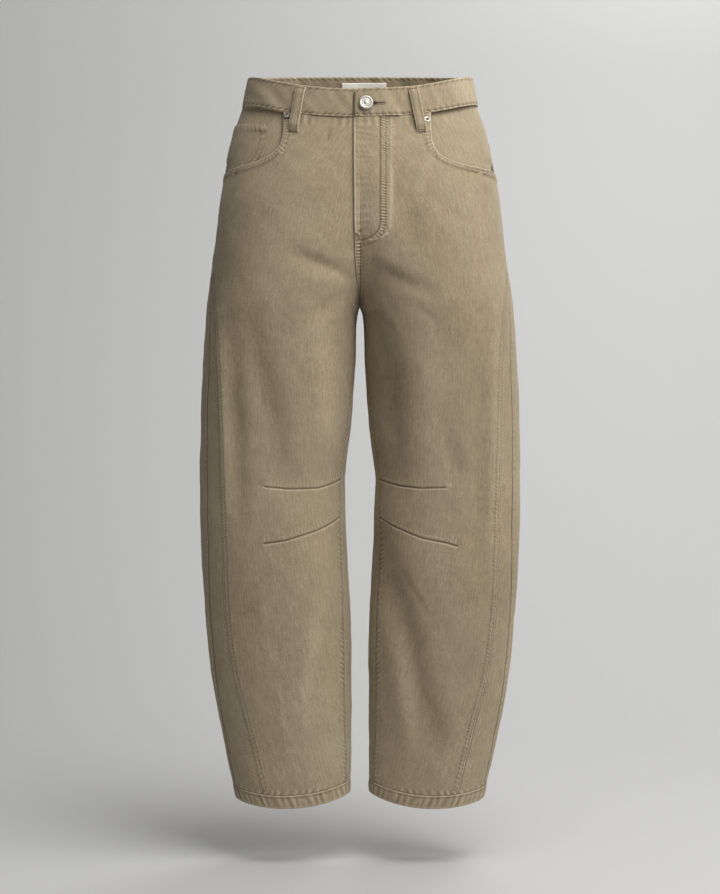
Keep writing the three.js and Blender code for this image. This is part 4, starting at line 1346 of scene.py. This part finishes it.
# The label's half width, how far it sits from the centre back, and its depth.
LABEL = dict(half=30, aside=5.5, top=11, foot=-15, thick=0.8)


def centre_back(level):
    return at_level("end", level)


def label():
    share = np.linspace(0, 1, 24)[:, None]
    across = np.linspace(-LABEL["half"], LABEL["half"], 50)[None, :]
    level = mix(LABEL["top"], LABEL["foot"], share) + 0 * across
    g = centre_back(level) - LABEL["aside"] + across
    slack = 0.5 * np.sin(math.pi * share) * (0.6 + 0.4 * np.sin(across / 9))
    off = -BAND["inside"] - SEAM_GAP - 0.3 - slack
    outer, normal, wear_and_shade = Piece(1).at(g, level, off)
    inner = outer - normal * LABEL["thick"]
    made = closed_sheet("label", 1, outer, inner, g, level, 0.4 * wear_and_shade, RIBBON)
    return finished(made, "ribbon", "label")


# Metal
def fitting(name, profile, side, x, level, lift, sides, material):
    """A round fitting, turned about an axis that stands on the cloth."""
    level = float(level)
    point, normal = bare_skin(side, round_at(x, level, -1), level)
    centre, axis = point + normal * lift, normal
    along = np.cross(axis, [0, 0, 1])
    along /= np.linalg.norm(along)
    across = np.cross(axis, along)
    profile = np.array(profile, float)
    angle = np.arange(sides) / sides * 2 * math.pi
    spoke = np.cos(angle)[:, None] * along + np.sin(angle)[:, None] * across
    points = (centre + profile[:, 1, None, None] * axis
              + profile[:, 0, None, None] * spoke[None, :, :])
    faces = grid_faces(len(profile), sides, ring=True)
    points = points.reshape(-1, 3)
    first, triangles = triangulated(points, faces)
    points = points[first]
    made = mesh_object(name + "_metal", points, triangles, material)
    a, b, c = (points[triangles[:, k]] for k in range(3))
    outward = np.einsum("ij,ij->i", a - centre - axis * 2, np.cross(b - a, c - a))
    if outward.sum() < 0:
        made.data.flip_normals()
    return made


BUTTON_PROFILE = [
    (0, 0), (5, 0), (5, 1.6), (7.9, 1.7), (8.6, 2.0), (8.95, 2.5), (9, 3.1), (8.8, 3.7),
    (8.3, 4.25), (7.7, 4.55), (7.1, 4.6), (6.55, 4.4), (6.2, 4.05), (5.9, 3.85), (5.3, 3.8),
    (4.9, 3.95), (4.6, 4.1), (4.2, 4.1), (3.9, 3.9), (3.7, 3.7), (3.3, 3.65), (3.0, 3.85),
    (2.6, 4.2), (2.0, 4.45), (1.2, 4.58), (0, 4.6),
]
RIVET_PROFILE = [
    (0, 0), (4.1, 0), (4.1, 0.35), (3.95, 0.75), (3.6, 1.1), (3.1, 1.3), (2.6, 1.25), (2.2, 1.0),
    (1.9, 0.7), (1.6, 0.6), (0, 0.6),
]
RIVET_CENTRE = [(0, 0.2), (1.75, 0.2), (1.75, 0.68), (1.4, 0.85), (0.8, 0.95), (0, 1.0)]


def buttonhole():
    """A keyhole worked in thread beside the button, with a near-black slit in it, painted shade for
    the open cut.
    """
    level, first, last, eye = -2.0, 15.5, 31.0, 2.6
    turn = np.linspace(0.25 * math.pi, 1.75 * math.pi, 14)
    loop = [(first + eye + eye * math.cos(t), eye * math.sin(t)) for t in turn[::-1]]
    rail = 1.5
    path = [(last, rail)] + [(first + 2 * eye + 1, rail)] + loop[::-1]
    path += [(first + 2 * eye + 1, -rail), (last, -rail), (last, rail)]
    path = even(np.array(path), step=0.9)
    lift = BAND["out"] + 0.05
    points, normals = band_place(path[:, 0], level + path[:, 1], np.full(len(path), lift))
    sewn("buttonhole", [(points, normals)], dict(TACK, Length=2.3, Pitch=0.62), 5, HOLE_THREAD)
    across = np.linspace(0, 1, 30)[None, :]
    down = np.linspace(-1, 1, 5)[:, None]
    x = mix(first + 0.6, last - 1.5, across)
    half = 0.55 + 1.3 * smooth((first + 6.5 - x) / 3) * np.sqrt(np.clip((x - first) / 3, 0, 1))
    points, normals = band_place(x + 0 * down, level + half * down, np.full((5, 30), lift + 0.02))
    made = build("buttonhole_slit", points.reshape(-1, 3), grid_faces(5, 30), SLIT_SHADE,
                 np.zeros((150, 2)), np.zeros(150))
    finished(made, "twill")


# Making
cloth, rows = {}, {}
pieces = {}
for side in (1, -1):
    h = HAND[side]
    cloth["front_" + h], pieces["front", side] = front_panel(side)
    cloth["side_panel_" + h], pieces["side_panel", side] = side_panel(side)
    cloth["back_" + h], pieces["back", side] = back_panel(side)
    cloth["yoke_" + h], pieces["yoke", side] = yoke(side)
    cloth["pocket_facing_" + h], pieces["facing", side] = pocket_facing(side)
    cloth["back_pocket_" + h], rows["back_pocket_" + h] = back_pocket(side, pieces["back", side])
    cloth["hem_" + h], rows["hem_" + h] = hem(side)
cloth["coin_pocket"], rows["coin_pocket"] = coin_pocket(pieces["facing", -1])
cloth["waistband"], rows["waistband"] = waistband()
cloth["label"] = label()

loop_rows, loop_tacks = [], []
for side in (1, -1):
    top, foot = FRONT_LOOPS[side]
    for name, upper, lower in (
        ("loop_front_", lambda z, x=top: round_at(x, z, -1), lambda z, x=foot: round_at(x, z, -1)),
        ("loop_side_", lambda z: 26 + 0 * z, lambda z: 30 + 0 * z),
    ):
        name += HAND[side]
        cloth[name], edges, tacks = belt_loop(name, side, upper, lower)
        loop_rows += edges
        loop_tacks += tacks
cloth["loop_back"], edges, tacks = belt_loop("loop_back", 1, centre_back, centre_back)
loop_rows += edges
loop_tacks += tacks

for side in (1, -1):
    h, s = HAND[side], SEAMS[side]
    front, back, top_back = pieces["front", side], pieces["back", side], pieces["yoke", side]
    front_rows = seam_rows(front, s["mouth"]) + seam_rows(front, dict(s["panel"], up=-1))
    front_rows += seam_rows(front, s["in"])
    if side > 0:
        front_rows += seam_rows(front, FLY_SEAMS[1])
        front_rows += [row_on(front, path) for path in J_ROWS]
    sewn("front_stitching_" + h, front_rows, seed=3)
    back_rows = seam_rows(back, s["yoke"])
    if side > 0:
        seamed = s["back"]["path"]
        for row in (1.8, 8):
            line = beside(seamed, -row)
            yoke_foot = float(yoke_seam(line[:1, 0])[0])
            back_rows.append(row_on(top_back, line[line[:, 1] > yoke_foot]))
            back_rows.append(row_on(back, line[line[:, 1] < yoke_foot]))
    sewn("back_stitching_" + h, back_rows + rows["back_pocket_" + h], seed=4)
    sewn("hem_stitching_" + h, rows["hem_" + h], seed=6)
sewn("waistband_stitching", rows["waistband"], seed=7)
sewn("coin_pocket_stitching", rows["coin_pocket"], seed=8)
sewn("loop_stitching", loop_rows, seed=9)
sewn("loop_tacks", loop_tacks, dict(TACK, Length=1.6), seed=10)


# Bar tacks: one across the foot of the fly, and one that joins the two J-shaped rows.
FLY_TACK = dict(level=-189.0, half=3.5)
J_TACK = -176.0
centre = float(at_level("start", FLY_TACK["level"]))
tacked = [[(centre + way * FLY_TACK["half"], FLY_TACK["level"]) for way in (-1, 1)],
          [(float(round_at(x, J_TACK, -1)), J_TACK) for x, _ in J_STITCHING]]
tacks = [row_on(pieces["front", 1], path, step=0.8) for path in tacked]
sewn("fly_tacks", tacks, dict(TACK, Length=1.8), seed=11)

button_lift = BAND["out"] + BAND["lift"] + SEAM_GAP
button = fitting("button", BUTTON_PROFILE, 1, BUTTON["x"], BUTTON["level"], button_lift, 48, NICKEL)
finished(button, "nickel", "button")
for side in (1, -1):
    x, level = RIVET[side]
    name = "rivet_" + HAND[side]
    # The wearer's right rivet's ring is the darker nickel, painted shade from the belt loop beside
    # it.
    ring, eye = (NICKEL, OLD_NICKEL) if side > 0 else (SHADED_NICKEL, NICKEL)
    rivet = fitting(name, RIVET_PROFILE, side, x, level, SEAM_GAP + 0.2, 32, ring)
    finished(rivet, "nickel", name)
    centre = fitting(name + "_centre", RIVET_CENTRE, side, x, level, SEAM_GAP + 0.2, 20, eye)
    finished(centre, "nickel")
buttonhole()


# Studio
FLOOR = -995


def studio_finish():
    """Pale paper whose colour is painted darker on the floor than up the wall, painted shade that
    holds the floor, lit from above, below the wall's brightness.
    """
    material, tree, shader = principled("studio_paper")
    height_of = tree.nodes.new("ShaderNodeSeparateXYZ")
    tree.links.new(tree.nodes.new("ShaderNodeTexCoord").outputs["Object"], height_of.inputs[0])
    rise = remap(tree, height_of.outputs["Z"], FLOOR * MM, (FLOOR + 1500) * MM, 0, 1)
    # Painted shade: the paper's colour darkens from the wall down to the floor.
    paper = ramp(tree, rise, [(0.0, (0.53, 0.532, 0.535)), (1.0, (0.66, 0.665, 0.67))])
    tree.links.new(paper, shader.inputs["Base Color"])
    set_inputs(shader, {"Roughness": 0.95, "Specular IOR Level": 0.1})
    return material


def studio_sweep():
    turn = np.linspace(0, math.pi / 2, 24)
    radius, back = 1500, 900
    profile = [(-3200, FLOOR), *[(back + radius * math.sin(t), FLOOR + radius * (1 - math.cos(t)))
                                 for t in turn], (back + radius, 4200)]
    wide = np.array([-5000.0, 5000.0])
    profile = np.array(profile)
    points = np.stack([np.tile(wide, len(profile)), np.repeat(profile[:, 0], 2),
                       np.repeat(profile[:, 1], 2)], 1)
    sweep = mesh_object("studio_sweep", points, grid_faces(len(profile), 2)[:, ::-1],
                        studio_finish())


def area_light(name, where, target, size, power, colour):
    light = bpy.data.lights.new(name, "AREA")
    light.shape = "RECTANGLE"
    light.size, light.size_y = size
    light.energy, light.color = power, colour
    made = bpy.data.objects.new(name, light)
    bpy.context.scene.collection.objects.link(made)
    away = np.array(where) - np.array(target)
    flat = math.hypot(away[0], away[1])
    made.location = where
    made.rotation_euler = (math.atan2(flat, away[2]), 0, math.atan2(away[1], away[0]) + math.pi / 2)


studio_sweep()
area_light("overhead", (0.7, -0.9, 2.1), (0, 0, -0.5), (1.9, 1.9), 66, (1, 0.99, 0.97))
area_light("key", (1.72, -2.46, 0.9), (0, 0, -0.45), (1.5, 1.9), 38, (1, 0.985, 0.955))
area_light("side", (2.4, -1.1, 0.5), (0, 0, -0.5), (1.2, 1.4), 13, (1, 0.985, 0.955))
area_light("behind", (0.9, 2.0, 1.5), (0, 0, -0.4), (1.5, 1.2), 34, (1, 0.99, 0.97))
world = bpy.data.worlds.new("studio")
bpy.context.scene.world = world
world.use_nodes = True
world.node_tree.nodes["Background"].inputs["Color"].default_value = (0.97, 0.985, 1, 1)
world.node_tree.nodes["Background"].inputs["Strength"].default_value = 0.14
bpy.context.scene.view_settings.view_transform = "Standard"

# The camera stands level with the middle of the garment. One pixel is 1.3 mm at the body's centre.
DISTANCE, CAMERA_LEVEL, PICTURE_HEIGHT = 2.5, -0.46, 894 * 1.3 * MM
camera_data = bpy.data.cameras.new("camera")
camera_data.sensor_fit = "VERTICAL"
camera_data.sensor_height = 24
camera_data.lens = 24 / PICTURE_HEIGHT * DISTANCE
camera = bpy.data.objects.new("camera", camera_data)
bpy.context.scene.collection.objects.link(camera)
camera.location = (0, -DISTANCE, CAMERA_LEVEL)
camera.rotation_euler = (math.radians(90), 0, 0)
bpy.context.scene.camera = camera
